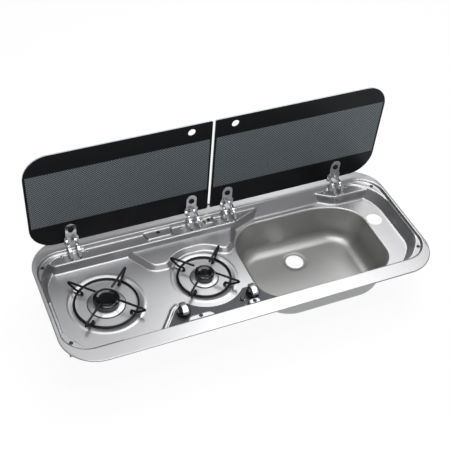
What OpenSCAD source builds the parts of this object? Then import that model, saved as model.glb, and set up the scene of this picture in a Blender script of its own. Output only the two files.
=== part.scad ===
// Drop-in kitchen unit: a two-burner gas hob and a sink in one stainless tray, under a glass lid in two parts.
// Millimetres. The origin is the middle of the tray's plan, on the worktop's upper surface. +Y is the hinge side.

/* [Tray] */
// Width of the rim
tray_w = 900; // [860:1:960]
// Depth of the rim, front to back
tray_d = 370; // [355:1:400]
// Corner radius of the rim
rim_r = 86; // [60:1:95]
// Height of the rim above the worktop
rim_top = 3; // [2.6:0.1:4]
// Thickness of the stainless sheet
sheet = 1; // [0.8:0.1:1.2]
// Width of the rim at the front
rim_front = 39.7; // [34:0.1:44]
// Width of the rim at the back
rim_back = 40.5; // [38:0.1:44]
// Width of the rim at the sides
rim_side = 8.5; // [7:0.1:14]
// Corner radius of the lid recess
recess_r = 61; // [50:1:64]
// Depth of the screw pads below the rim
pad_drop = 6; // [5.5:0.1:7]
// Depth of the hinge ledge below the rim
ledge_drop = 9.5; // [8.5:0.1:10]
// Depth of the shelf behind the right burner
shelf_drop = 22; // [18:0.5:26]
// Depth of the hob deck below the rim
deck_drop = 33; // [30:0.5:38]
// Depth of the round dish under each pan support
dish_depth = 3; // [2:0.1:4]

/* [Sink] */
// Depth of the bowl below the rim
bowl_drop = 133; // [110:1:160]
// Left edge of the bowl's mouth, from the middle of the tray
bowl_left = 23.3; // [14:0.1:30]
// Width of the bowl's mouth
bowl_w = 342; // [310:1:343]
// Depth of the bowl's mouth, front to back
bowl_d = 239; // [220:1:240]
// Radius of the drain hole
drain_r = 22.5; // [20:0.5:30]
// Place of the drain, from the middle of the tray
drain_x = 191; // [180:1:200]
// Place of the drain, front to back
drain_y = 44; // [30:1:50]
// Radius of the tap hole
tap_r = 20; // [15:0.5:21]
// Place of the tap hole, from the middle of the tray
tap_x = 391; // [388:1:394]
// Place of the tap hole, front to back
tap_y = 28; // [10:1:40]

/* [Burners] */
// Distance from the middle of the tray to the left burner
left_burner_x = -316; // [-322:1:-306]
// Distance from the middle of the tray to the right burner
right_burner_x = -82; // [-90:1:-80]
// Place of both burners, front to back
burner_y = -10; // [-14:1:-6]
// Radius of the left burner's cap
left_cap_r = 30; // [26:0.5:34]
// Radius of the right burner's cap
right_cap_r = 23; // [20:0.5:27]
// Radius of the left pan support's ring
left_ring_r = 71; // [64:0.5:74]
// Radius of the right pan support's ring
right_ring_r = 61; // [54:0.5:62]
// Diameter of the ring's wire
ring_wire = 5; // [4:0.1:6]
// Diameter of the fingers' wire
finger_wire = 4; // [3.5:0.1:4.5]
// Distance from the burner's middle to a finger's inner end
finger_inner = 28; // [24:0.5:34]
// How far the fingers reach outside the ring
finger_reach = 29; // [24:0.5:32]

/* [Lid] */
// Thickness of the glass
glass_t = 4; // [3:0.1:4.5]
// Gap between the lid's edge and the recess
lid_gap = 4; // [3:0.1:6]
// Gap between the lid's back edge, when closed, and the recess's back wall
lid_rear_gap = 27.8; // [26:0.1:30]
// Gap between the two halves of the lid
split_gap = 6; // [4:0.5:10]
// Place of the split, from the middle of the tray
split_x = -6; // [-10:1:0]
// Radius of the lid's inner corners
lid_inner_r = 4; // [2:0.5:8]
// Height of the lid's screws above the rim when the lid is open
lid_screw_rise = 50; // [46:0.5:54]
// Radius of the finger holes
finger_hole_r = 9; // [7:0.5:11]

/* [Hinges] */
// Distance from the split to the inner hinges
hinge_near = 46; // [42:1:60]
// Distance from the split to the outer hinges
hinge_far = 338.5; // [325:0.5:345]
// Distance from the recess's back wall to the pivot
pivot_behind = 0.3; // [0:0.1:1]
// Depth of the pivot below the rim
pivot_drop = 14.8; // [14.5:0.1:16]
// Middle radius of the curved arms about the pivot
arm_r = 27; // [25:0.5:28]
// Radial width of an arm
arm_w = 6; // [5:0.1:6.5]
// Thickness of an arm
arm_t = 3; // [2:0.1:3.5]
// Distance between the middles of a hinge's arms
arm_pitch = 24; // [22:0.5:26]
// Radius of the hinge pin
pin_r = 2; // [1.5:0.1:2.4]
// Thickness of the tongue on the glass
tongue_t = 2; // [1.5:0.1:2.5]
// Width of the tongue
tongue_w = 26; // [22:0.5:28]
// Width of the crosspiece that carries the arms
cross_w = 34; // [32:0.5:38]

/* [Controls] */
// Distance between the two knobs
knob_pitch = 167; // [164:1:170]
// Place of the right knob, from the middle of the tray
right_knob_x = 1; // [-2:0.5:2]
// Place of both knobs, front to back
knob_y = -96; // [-100:1:-94]
// Radius of a knob
knob_r = 15.5; // [13:0.5:16]
// Height of a knob's black body
knob_h = 13; // [10:0.5:14]
// Travel of a knob when it is pushed
knob_push = 3; // [2:0.1:3.5]
// Width of a knob's bright grip
grip_w = 9; // [7:0.5:11]
// Thickness of the control panel
panel_t = 1; // [0.8:0.1:2]
// Radius of the igniter button
button_r = 5.5; // [4:0.5:6]
// Travel of the igniter button
button_push = 3; // [2:0.1:4]

/* [Hidden] */
$fn = 64;

// Clearances and small allowances
cut = 1;
seat_gap = 0.3;
slide_gap = 0.5;
pin_gap = 0.05;

// Heights of the pressed levels
deck_z = rim_top - deck_drop;
dish_z = deck_z - dish_depth;
pad_z = rim_top - pad_drop;
ledge_z = rim_top - ledge_drop;
shelf_z = rim_top - shelf_drop;
bowl_z = rim_top - bowl_drop;
weld_z = deck_z - 8;

// Plan of the recess
recess_left = -tray_w / 2 + rim_side;
recess_right = tray_w / 2 - rim_side;
recess_front = -tray_d / 2 + rim_front;
recess_back = tray_d / 2 - rim_back;

// Radii and slopes of the pressing
rim_edge_r = 2.2;
recess_edge_r = 2.5;
recess_slope = 12;
recess_foot_r = 8;
land_edge_r = 3;
land_slope = 3;
land_foot_r = 5;
corner_slope = 12;
bead_h = 3.5;
bead_slope = 4.5;
arc_steps = 3;
recess_steps = 7;

// Lids, drawn closed and turned up about the pivot
pivot_y = recess_back + pivot_behind;
pivot_z = rim_top - pivot_drop;
lid_front = recess_front + lid_gap;
lid_rear = recess_back - lid_rear_gap;
glass_z = rim_top - glass_t;
lid_left = recess_left + lid_gap + 1;
lid_right = recess_right - lid_gap - 1;
lid_outer_r = recess_r - lid_gap + 1;
hinge_x = [split_x - hinge_far, split_x - hinge_near, split_x + hinge_near, split_x + hinge_far];
lid_screw_y = pivot_y - (lid_screw_rise + rim_top - pivot_z);

// Burners
left_dish_r = left_ring_r + 13;
right_dish_r = right_ring_r + 13;
cap_top_z = rim_top - 15;
finger_top_z = rim_top - 6;

// Controls
knob_x = [right_knob_x - knob_pitch, right_knob_x];
panel_top = deck_z + panel_t;
knob_base_z = panel_top + knob_push + 1;
button_x = right_knob_x - 28;
button_y = knob_y - 7;

// Pads in the recess: the middles of the wide and the narrow pair, half widths and how they widen to the wall
pad_x = -142;
lug_x = -14;
pad_half = 30;
lug_half = 14;
pad_flare = 16;
lug_flare = 7;
pad_reach = 18.3;
rear_pad_reach = 26.5;
corner_in = 25;

// Screws that hold the unit down, in pairs about the middle line
screw_x = [-tray_w / 2 + corner_in, pad_x, lug_x, tray_w / 2 - corner_in];
screw_in = [72, 50, 49, 72];
SCREWS = [for (i = [0:3], side = [-1, 1]) [screw_x[i], side * (tray_d / 2 - screw_in[i])]];
screw_r = 2.1;

past_wall = 40;
ledge_front = recess_back - 34.5;
ledge_in = 41;
wave_out = 101;
wave_in = 66;
wave_top = 36;
wave_near = 60;
wave_y = burner_y + right_dish_r + 13;
recess_plan = box_corners(recess_left, recess_front, recess_right, recess_back, recess_r);
corner_reach = 56;
corner_rise = 63;
bowl_right = bowl_left + bowl_w;
bowl_front = -126;
bowl_back = bowl_front + bowl_d;
mouth_edge_r = 4;
floor_foot_r = 22;
bowl_steps = 6;
rim_plan = box_corners(-tray_w / 2, -tray_d / 2, tray_w / 2, tray_d / 2, rim_r);
lip_z = 0.4;
burner_hole_clear = 3;
stud_r = 2;
stud_x = 30;
stud_y = pivot_y - 9;
STUDS = [for (i = [0:3], side = [-1, 1]) if (i != 1 || side < 0) hinge_x[i] + side * stud_x];
stem_r = 4;
seal_in = 1.6;
seal_w = 4.2;
screw_head_r = 3.6;
screw_head_h = 1;
screw_end_z = -42;
cap_r = 4.4;
clamp_t = 2;
clamp_w = 14;
clamp_tail = 9;
claw_h = 4;
clamp_z = -38;
bracket_t = 1.5;
ear_x = arm_pitch / 2 + arm_t / 2 + 0.6;
under_ledge = ledge_z - sheet;
wing_x = 34.5;
hub_r = 3.8;
tongue_back = pivot_y - 22;
cross_front = tongue_back - 21;
tongue_front = lid_screw_y - 18;
notch_r = 8;
lid_shank_r = 2.5;
bush_r = 5;
finger_hole_x = 52;
finger_hole_y = 20;
lid_head_r = 7;
lid_head_h = 2.6;
lid_cap_r = 9;
lid_cap_h = 3;
floor_front = recess_front + recess_slope + recess_foot_r + 0.4;
panel_arc_r = right_dish_r + 18;
knob_top = knob_base_z + knob_h;
grip_sink = 5;
grip_rise = 7;
knob_bore = 7.5;
under_deck = deck_z - sheet;
valve_r = 11;
valve_bottom = -68;
plunger_h = 10;
stem_bottom = -46;
pipe_z = -56;
rail_z = -46;
boss_r = 4.5;
rail_r = 6;
rail_y = knob_y + valve_r + rail_r + seat_gap;
igniter_bottom = -64;
button_foot = -48;
button_stem_r = button_r - 2.5;
button_lift = 0.2;
button_h = 2.6;
bend_full = 1.04;
pipe_r = 3;
inlet_r = 4;
inlet_len = 40;
cup_boss = 9;
pipe_y = -66;
cup_bottom = -68;
trim_share = 1.4;
head_foot = dish_z - 5;
cap_edge = 3.4;
probe_out = 4.5;
probe_turn = 20;
probe_r = 2.2;
probe_low = -72;
lead_r = 1.2;
ring_z = dish_z + 4.2;
foot_in = 10;
foot_h = 6;
weld_sink = 0.6;

function unit(v) = v / norm(v);
function left_of(d) = [-d[1], d[0]];

// One rounded corner of an outline that runs anticlockwise, moved inwards by inset
function corner_arc(a, b, c, r, inset, steps) =
    let (d1 = unit(b - a), d2 = unit(c - b))
    let (bend = sign(d1[0] * d2[1] - d1[1] * d2[0]))
    let (half = acos(d1 * d2) / 2)
    let (both = left_of(d1) + left_of(d2))
    let (tip = b + both * inset / (1 + left_of(d1) * left_of(d2)))
    let (rr = max(r - bend * inset, 0.4))
    let (middle = tip + bend * unit(both) * rr / cos(half))
    let (out = -bend * left_of(d1))
    let (start = atan2(out[1], out[0]))
    [for (k = [0:steps]) middle + rr * [cos(start + bend * 2 * half * k / steps), sin(start + bend * 2 * half * k / steps)]];

// A closed outline from corners given as x, y and radius
function outline(corners, inset = 0, steps = arc_steps) =
    let (n = len(corners))
    let (at = [for (p = corners) [p[0], p[1]]])
    [for (i = [0:n - 1])
        each corner_arc(at[(i + n - 1) % n], at[i], at[(i + 1) % n], corners[i][2], inset, steps)];

function box_corners(x0, y0, x1, y1, r) = [[x0, y0, r], [x1, y0, r], [x1, y1, r], [x0, y1, r]];
function mix(a, b, t) = a + (b - a) * t;

// The S-shaped section of a pressed step: distance along from its foot, and height
function step_section(low, high, foot_r, edge_r, slope) = concat(
    [for (a = [0:45:90]) [foot_r * sin(a), low + foot_r * (1 - cos(a))]],
    [for (a = [0:45:90]) [foot_r + slope + edge_r * (1 - cos(a)), high - edge_r + edge_r * sin(a)]]);

// A solid through rings of points, each ring level, from the lowest to the highest
module loft(rings) {
    n = len(rings[0]);
    m = len(rings);
    sides = [for (j = [0:m - 2], i = [0:n - 1], half = [0, 1])
        let (a = i + j * n, b = (i + 1) % n + j * n)
        half == 0 ? [a, a + n, b + n] : [a, b + n, b]];
    low_end = [for (i = [0:n - 1]) i];
    high_end = [for (i = [n - 1:-1:0]) i + (m - 1) * n];
    polyhedron(points = [for (ring = rings) each ring], faces = concat(sides, [low_end], [high_end]));
}

function level_ring(points, z) = [for (p = points) [p[0], p[1], z]];

// A pocket with a rounded edge and foot; under is the sheet's thickness for the sheet's lower side
module pocket(corners, low, high, foot_r, edge_r, slope, under = 0) {
    wall = foot_r + slope;
    section = step_section(low - under, high - under, foot_r + under, max(edge_r - under, 0.2), slope);
    rings = [for (s = section) level_ring(outline(corners, wall - s[0], recess_steps), s[1])];
    top = level_ring(outline(corners, -edge_r, recess_steps), under > 0 ? high - under / 2 : high + cut);
    loft(concat(rings, [top]));
}

// A raised land with a rounded edge and foot, standing in the recess
module land(corners, low, high, under = 0, slope = land_slope) {
    wall = land_foot_r + slope;
    section = step_section(low - under, high - under, land_foot_r + under, land_edge_r - under, slope);
    base = level_ring(outline(corners, -wall), low - under - 3 * cut);
    loft(concat([base], [for (s = section) level_ring(outline(corners, s[0] - wall), s[1])]));
}

// Plan of the pressed shapes
rear_ledge_plan = [
    [recess_left + ledge_in, ledge_front, 12], [split_x + hinge_near + 6, ledge_front, 30],
    [split_x + hinge_near + 64, ledge_front + 21, 20], [split_x + hinge_near + 110, recess_back + 15.5, 14],
    [split_x + hinge_near + 110, recess_back + past_wall, 5],
    [recess_left + ledge_in / 2, recess_back + past_wall, 5], [recess_left + ledge_in / 2, recess_back + 8, 10]];
side_ledge_plan = [
    [split_x + hinge_far - 16.5, ledge_front, 12], [split_x + hinge_far + 92.5, ledge_front - 2, 5],
    [split_x + hinge_far + 92.5, recess_back + past_wall, 5],
    [split_x + hinge_far - 125.5, recess_back + past_wall, 5]];
shelf_plan = [
    [left_burner_x + left_dish_r, recess_back - 14, 10], [right_burner_x - wave_out, burner_y + wave_near, 24],
    [right_burner_x - wave_in, burner_y + wave_near - 2, 18], [right_burner_x - wave_top, wave_y, 70],
    [right_burner_x + wave_top, wave_y + 2, 70], [bowl_left - 25, burner_y + wave_near - 4, 12],
    [bowl_left - 7, burner_y + wave_near + 12, 20], [bowl_left + 24, recess_back - 20, 10]];

// A pad that stands out of the front or the back wall, narrow at its free end
function wall_pad(x, half, flare, y, wall_y, tip_r) = wall_y > y
    ? [[x - half, y, tip_r], [x + half, y, tip_r], [x + half + flare, wall_y, 5], [x - half - flare, wall_y, 5]]
    : [[x - half - flare, wall_y, 5], [x + half + flare, wall_y, 5], [x + half, y, tip_r], [x - half, y, tip_r]];
rear_pad_plan = wall_pad(pad_x, pad_half, pad_flare, recess_back - rear_pad_reach, recess_back + past_wall, 7);
hinge_pad_plan = wall_pad(lug_x, lug_half - 3, lug_flare, recess_back - rear_pad_reach + 6, recess_back + past_wall, 5);
front_pad_plan = wall_pad(pad_x, pad_half, pad_flare, recess_front + pad_reach, recess_front - past_wall, 18);
front_lug_plan = wall_pad(lug_x, lug_half, lug_flare, recess_front + pad_reach, recess_front - past_wall, 8);

// The pad across a corner of the recess, on the side given by the signs of x and y
function corner_pad_plan(sx, sy) =
    let (x = tray_w / 2 - 7, y = tray_d / 2 - 38)
    let (ends = [[sx * (x - corner_reach), sy * (y + 12), 5], [sx * (x + past_wall), sy * (y + past_wall), 5],
                 [sx * (x + 6), sy * (y - corner_rise - 14), 5]])
    sx * sy > 0 ? [ends[2], ends[1], ends[0]] : ends;

bead_plan = [
    [knob_x[0] - 68, recess_front + 7, 1], [knob_x[0] - 64.5, recess_front + 7, 1], [knob_x[0] - 30, knob_y + 1.4, 20],
    [knob_x[0] - 19, knob_y + 16.5, 6], [knob_x[0] - 7, knob_y + 24.4, 1], [knob_x[0] - 8.4, knob_y + 26.6, 1],
    [knob_x[0] - 21, knob_y + 18.4, 8], [knob_x[0] - 32.2, knob_y + 2.8, 20]];

// The bowl's mouth, cut across at the back right where the side ledge stands, and its floor
mouth_plan = [
    [bowl_left, bowl_front, 60], [bowl_right, bowl_front, 60], [bowl_right, bowl_back - 49, 60],
    [bowl_right - 53.3, bowl_back - 12, 120], [bowl_right - 110.3, bowl_back, 160], [bowl_left, bowl_back, 84]];
floor_plan = [
    [bowl_left + 16.7, bowl_front + 2, 90], [bowl_right - 3.3, bowl_front + 2, 82],
    [bowl_right - 3.3, bowl_back - 58.4, 62], [bowl_right - 19.9, bowl_back - 29.6, 62],
    [bowl_right - 48.7, bowl_back - 13, 62], [bowl_left + 16.7, bowl_back - 8, 70]];

// Rings of the bowl from the floor up; under is the sheet's thickness for its outer side
function bowl_ring(z, inset, under) =
    let (t = (deck_z - z) / (deck_z - bowl_z))
    level_ring(outline(mix(mouth_plan, floor_plan, t), inset - under, bowl_steps), z);
function bowl_rings(under, top) = concat(
    [for (a = [0:18:90])
        bowl_ring(bowl_z - under + (floor_foot_r + under) * (1 - cos(a)), (floor_foot_r + under) * (1 - sin(a)), under)],
    [bowl_ring(top, 0, under)]);

// The mouth's rounded throat, which turns down from the deck to the weld
function throat_rings(under) = concat(
    [bowl_ring(weld_z - (under > 0 ? 0 : cut), 0, under)],
    [for (a = [0:30:90])
        bowl_ring(deck_z - under - (mouth_edge_r - under) * (1 - sin(a)), -(mouth_edge_r - under) * (1 - cos(a)), under)],
    [bowl_ring(under > 0 ? deck_z - under / 2 : deck_z + cut, -mouth_edge_r + under, under)]);

// All the lands that stand in the recess
module lands(under = 0) {
    land(rear_ledge_plan, deck_z, ledge_z, under);
    land(side_ledge_plan, deck_z, ledge_z, under);
    land(shelf_plan, deck_z, shelf_z, under);
    for (plan = [rear_pad_plan, hinge_pad_plan, front_pad_plan, front_lug_plan]) land(plan, deck_z, pad_z, under);
    for (sx = [-1, 1], sy = [-1, 1]) land(corner_pad_plan(sx, sy), deck_z, pad_z, under, corner_slope);
    bead(under);
}

// The low bead beside the control panel's left end
module bead(under = 0) {
    loft([
        level_ring(outline(bead_plan, -bead_slope), deck_z - under - 3 * cut),
        level_ring(outline(bead_plan, -bead_slope), deck_z - under),
        level_ring(outline(bead_plan), deck_z + bead_h - under)]);
}

// The space that the pressing encloses, or with under the space inside its lower side
module pressing(under = 0) {
    difference() {
        pocket(recess_plan, deck_z, rim_top, recess_foot_r, recess_edge_r, recess_slope, under);
        lands(under);
    }
    dish(left_burner_x, left_dish_r, under);
    dish(right_burner_x, right_dish_r, under);
    loft(throat_rings(under));
}

// The round dish under a pan support
module dish(x, r, under) {
    turns = 40;
    slope = 4;
    section = [[r - slope, dish_z - under], [r, deck_z - under], [r, under > 0 ? deck_z - under / 2 : deck_z + cut]];
    loft([for (s = section)
        [for (k = [0:turns - 1]) [x + s[0] * cos(k * 360 / turns), burner_y + s[0] * sin(k * 360 / turns), s[1]]]]);
}

// The rim with its turned-down edge
module rim_blank() {
    loft(concat(
        [level_ring(outline(rim_plan, 0, 9), lip_z)],
        [for (a = [0:30:90])
            level_ring(outline(rim_plan, rim_edge_r * (1 - cos(a)), 9), rim_top - rim_edge_r * (1 - sin(a)))]));
}

module rim_hollow() {
    loft([level_ring(outline(rim_plan, sheet, 9), lip_z - cut), level_ring(outline(rim_plan, sheet, 9), rim_top - sheet)]);
}

// One pressed sheet: the rim, recess, ledges, deck and the bowl's throat
module tray_sheet() {
    difference() {
        union() {
            difference() {
                rim_blank();
                rim_hollow();
            }
            pressing(sheet);
        }
        pressing();
    }
}

function burner_hole_r(cap_r) = cap_r - burner_hole_clear;

module tray() {
    color("silver") difference() {
        resize([tray_w, tray_d, 0]) tray_sheet();
        translate([tap_x, tap_y, deck_z - 2 * sheet]) cylinder(r = tap_r, h = 4 * sheet);
        burner_holes(left_burner_x, left_cap_r);
        burner_holes(right_burner_x, right_cap_r);
        for (p = SCREWS) translate([p[0], p[1], pad_z - 2 * sheet]) cylinder(r = screw_r + slide_gap, h = 4 * sheet);
        for (x = knob_x) translate([x, knob_y, deck_z - 2 * sheet]) cylinder(r = stem_r + slide_gap, h = 4 * sheet);
        translate([button_x, button_y, deck_z - 2 * sheet]) cylinder(r = button_stem_r + slide_gap, h = 4 * sheet);
        for (x = STUDS) translate([x, stud_y, ledge_z - 2 * sheet]) cylinder(r = stud_r + pin_gap, h = 4 * sheet);
        for (x = hinge_x, side = [-1, 1]) translate([x + side * arm_pitch / 2, 0, 0]) arm_slot();
    }
}

// The slot in the ledge that a curved arm slides through
module burner_holes(x, cap_radius) {
    translate([x, burner_y, dish_z - 2 * sheet]) cylinder(r = burner_hole_r(cap_radius), h = 4 * sheet);
    for (side = [-1, 1]) translate(probe_at(x, cap_radius, side)) translate([0, 0, dish_z - 2 * sheet])
        cylinder(r = probe_r + slide_gap, h = 4 * sheet);
}

module arm_slot() {
    slot_drop = pivot_z - (ledge_z - sheet);
    slot_back = pivot_y - sqrt(pow(arm_r - arm_w / 2, 2) - pow(slot_drop, 2)) + slide_gap;
    slot_front = pivot_y - arm_r - arm_w / 2 - slide_gap;
    translate([-arm_t / 2 - slide_gap, slot_front, ledge_z - 2 * sheet])
        cube([arm_t + 2 * slide_gap, slot_back - slot_front, 4 * sheet]);
}

// The deep-drawn bowl below the weld
module sink_bowl() {
    color("gainsboro") difference() {
        resize([0, 0, weld_z - bowl_z + sheet]) difference() {
            loft(bowl_rings(sheet, weld_z));
            loft(bowl_rings(0, weld_z + cut));
        }
        translate([drain_x, drain_y, bowl_z - 2 * sheet]) cylinder(r = drain_r, h = 4 * sheet);
    }
}

// The soft strip under the rim, whose underside rests on the worktop
module rim_seal() {
    color("dimgray") linear_extrude(rim_top - sheet) difference() {
        polygon(outline(rim_plan, seal_in, 9));
        polygon(outline(rim_plan, seal_in + seal_w, 9));
    }
}

// Screws through the pads, with soft caps that the closed lid rests on

module fixing_screws() {
    color("lightgray") for (p = SCREWS) translate([p[0], p[1], 0]) {
        translate([0, 0, pad_z]) cylinder(r = screw_head_r, h = screw_head_h);
        translate([0, 0, screw_end_z]) cylinder(r = screw_r, h = pad_z - screw_end_z);
    }
}

module screw_caps() {
    cap_h = glass_z - seat_gap - pad_z;
    color("black") for (p = SCREWS) translate([p[0], p[1], pad_z]) rotate_extrude() difference() {
        polygon([[0, 0], [cap_r, 0], [cap_r, cap_h - 0.6], [cap_r - 0.6, cap_h], [0, cap_h]]);
        square([screw_head_r + pin_gap, screw_head_h + pin_gap]);
    }
}

// Straps on the screws, turned in as they are before the unit is fitted
module fixing_clamps() {
    color("gray") for (p = SCREWS) {
        corner = abs(p[0]) > tray_w / 3;
        reach = corner ? tray_w / 2 - abs(p[0]) - 1 : tray_d / 2 - abs(p[1]) - 1;
        beside_hinge = p[1] > 0 && abs(p[0] - lug_x) < 1;
        turn = corner || beside_hinge ? (p[1] > 0 ? -90 : 90) : 180;
        translate([p[0], p[1], clamp_z]) rotate([0, 0, turn]) clamp(reach);
    }
}

module clamp(reach) {
    difference() {
        union() {
            translate([-clamp_tail, -clamp_w / 2, 0]) cube([clamp_tail + reach, clamp_w, clamp_t]);
            translate([reach - clamp_t, -clamp_w / 2, clamp_t]) cube([clamp_t, clamp_w, claw_h]);
        }
        translate([0, 0, -cut]) cylinder(r = screw_r + pin_gap, h = clamp_t + 2 * cut);
    }
}

// Hinges: a bracket under the ledge, a pin, and a curved arm piece that slides up through the slots
module hinge_bracket(x) {
    color("lightgray") translate([x, 0, 0]) difference() {
        union() {
            for (side = [-1, 1]) scale([side, 1, 1]) {
                translate([ear_x, stud_y - 9, under_ledge - bracket_t])
                    cube([wing_x - ear_x, pivot_y + 6 - stud_y + 9, bracket_t]);
                translate([ear_x, stud_y - 9, pivot_z - 6])
                    cube([bracket_t, pivot_y + 6 - stud_y + 9, under_ledge - pivot_z + 6]);
            }
            translate([-ear_x - 0.2, pivot_y + 4.5, pivot_z - 6])
                cube([2 * ear_x + 0.4, bracket_t, under_ledge - pivot_z + 6]);
        }
        for (stud = STUDS) if (abs(stud - x) < wing_x) translate([stud - x, stud_y, under_ledge - 2 * bracket_t])
            cylinder(r = stud_r + pin_gap, h = 4 * bracket_t);
        translate([-wing_x, pivot_y, pivot_z]) rotate([0, 90, 0]) cylinder(r = pin_r, h = 2 * wing_x);
    }
}

module hinge_pin(x) {
    half = ear_x + bracket_t + 1;
    color("gainsboro") translate([x - half, pivot_y, pivot_z]) rotate([0, 90, 0]) cylinder(r = pin_r, h = 2 * half);
}

module hinge_studs() {
    color("white") for (x = STUDS) translate([x, stud_y, 0]) {
        translate([0, 0, ledge_z]) cylinder(r = stud_r + 1.6, h = 1.2);
        translate([0, 0, under_ledge - bracket_t - 1.5]) cylinder(r = stud_r, h = ledge_z - under_ledge + bracket_t + 1.5);
        translate([0, 0, under_ledge - bracket_t - 1.5]) cylinder(r = stud_r + 1.4, h = 1.5);
    }
}

// Turns a lid piece that is drawn closed up to its open place
module opened() {
    translate([0, pivot_y, pivot_z]) rotate([-90, 0, 0]) translate([0, -pivot_y, -pivot_z]) children();
}

// The side view of one curved arm, about the pivot
module arm_side() {
    reach = 2 * arm_r;
    top = glass_z - pivot_z;
    difference() {
        union() {
            circle(r = hub_r);
            translate([-arm_w / 2, -arm_r]) square([arm_w, arm_r]);
            intersection() {
                difference() {
                    circle(r = arm_r + arm_w / 2);
                    circle(r = arm_r - arm_w / 2);
                }
                polygon([[arm_w / 2, 0], [-reach, 0], [-reach, -reach], [arm_w / 2, -reach]]);
            }
            intersection() {
                difference() {
                    circle(r = arm_r + arm_w / 2);
                    circle(r = arm_r - arm_w / 2);
                }
                translate([-reach, 0]) square([reach, top]);
            }
        }
        circle(r = pin_r + pin_gap);
    }
}

module hinge_arm(x) {
    color("silver") opened() translate([x, 0, 0]) {
        for (side = [-1, 1]) translate([side * arm_pitch / 2 - arm_t / 2, pivot_y, pivot_z])
            rotate([90, 0, 90]) linear_extrude(arm_t) arm_side();
        translate([0, 0, glass_z - tongue_t]) linear_extrude(tongue_t) difference() {
            union() {
                translate([0, tongue_front + tongue_w / 2]) circle(r = tongue_w / 2);
                translate([-tongue_w / 2, tongue_front + tongue_w / 2])
                    square([tongue_w, tongue_back - tongue_front - tongue_w / 2]);
                polygon([
                    [-cross_w / 2, cross_front + 4], [-cross_w / 2 + 4, cross_front],
                    [cross_w / 2 - 4, cross_front], [cross_w / 2, cross_front + 4],
                    [cross_w / 2, tongue_back], [-cross_w / 2, tongue_back]]);
            }
            translate([0, tongue_back]) circle(r = notch_r);
            translate([0, lid_screw_y]) circle(r = lid_shank_r + pin_gap);
        }
    }
}

// Lid: two panes, each with a finger hole and two holes for the hinges' screws
module lid_glass(side) {
    near = split_x + side * split_gap / 2;
    plan = side < 0
        ? [[lid_left, lid_front, lid_outer_r], [near, lid_front, lid_inner_r],
           [near, lid_rear, lid_inner_r], [lid_left, lid_rear, lid_outer_r]]
        : [[near, lid_front, lid_inner_r], [lid_right, lid_front, lid_outer_r],
           [lid_right, lid_rear, lid_outer_r], [near, lid_rear, lid_inner_r]];
    color([0.1, 0.1, 0.12]) opened() translate([0, 0, glass_z]) difference() {
        linear_extrude(glass_t) polygon(outline(plan, 0, 14));
        translate([split_x + side * finger_hole_x, lid_front + finger_hole_y, -cut]) cylinder(r = finger_hole_r, h = glass_t + 2 * cut);
        for (x = lid_hinges(side)) translate([x, lid_screw_y, -cut]) cylinder(r = bush_r + pin_gap, h = glass_t + 2 * cut);
    }
}
function lid_hinges(side) = side < 0 ? [hinge_x[0], hinge_x[1]] : [hinge_x[2], hinge_x[3]];

module lid_bushes(side) {
    color("white") opened() for (x = lid_hinges(side)) translate([x, lid_screw_y, glass_z]) difference() {
        cylinder(r = bush_r, h = glass_t);
        translate([0, 0, -cut]) cylinder(r = lid_shank_r + pin_gap, h = glass_t + 2 * cut);
    }
}

module lid_screws(side) {
    color("black") opened() for (x = lid_hinges(side)) translate([x, lid_screw_y, 0]) {
        translate([0, 0, glass_z - tongue_t - lid_head_h]) rotate_extrude()
            polygon([[0, 0], [lid_head_r - 1.2, 0], [lid_head_r, 1.2], [lid_head_r, lid_head_h], [0, lid_head_h]]);
        translate([0, 0, glass_z - tongue_t]) cylinder(r = lid_shank_r, h = tongue_t + glass_t + lid_cap_h - 1);
    }
}

module lid_caps(side) {
    color("gainsboro") opened() for (x = lid_hinges(side)) translate([x, lid_screw_y, rim_top]) rotate_extrude() difference() {
        polygon([[0, 0], [lid_cap_r, 0], [lid_cap_r, 1], [lid_cap_r - 2, lid_cap_h], [0, lid_cap_h]]);
        square([lid_shank_r + pin_gap, lid_cap_h - 1 + pin_gap]);
    }
}

// Control panel: a dark plate on the deck that follows the right burner's dish and the bowl
module control_panel() {
    color([0.2, 0.21, 0.23]) translate([0, 0, deck_z]) difference() {
        linear_extrude(panel_t) difference() {
            polygon(outline([
                [knob_x[0] - 53, floor_front, 0.5], [bowl_left + 34.7, floor_front, 2],
                [right_burner_x + panel_arc_r, burner_y - 62, 2], [knob_x[0] - 10, burner_y - 62, 2]], 0, 4));
            translate([right_burner_x, burner_y]) circle(r = panel_arc_r);
            polygon(outline(mouth_plan, -mouth_edge_r - 1.5, bowl_steps));
            polygon(outline(front_pad_plan, -land_foot_r - land_slope - 0.4));
            polygon(outline(front_lug_plan, -land_foot_r - land_slope - 0.4));
            polygon(outline(bead_plan, -bead_slope - 0.4));
        }
        for (x = knob_x) translate([x, knob_y, -cut]) cylinder(r = stem_r + slide_gap, h = panel_t + 2 * cut);
        translate([button_x, button_y, -cut]) cylinder(r = button_r + slide_gap, h = panel_t + 2 * cut);
    }
}

// Knobs: a black body on the valve's stem, with a bright grip across it
module knob(x) {
    color("black") translate([x, knob_y, knob_base_z]) difference() {
        rotate_extrude() polygon([
            [0, 0], [knob_r - 0.8, 0], [knob_r, 0.8], [knob_r, 3], [knob_r - 1.2, 4],
            [knob_r - 1.8, knob_h - 2], [knob_r - 3.8, knob_h], [0, knob_h]]);
        translate([0, 0, -cut]) cylinder(r = stem_r + pin_gap, h = knob_bore + cut);
        translate([-grip_w / 2, -knob_r, knob_h - grip_sink]) cube([grip_w, 2 * knob_r, grip_sink + cut]);
    }
}

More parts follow.
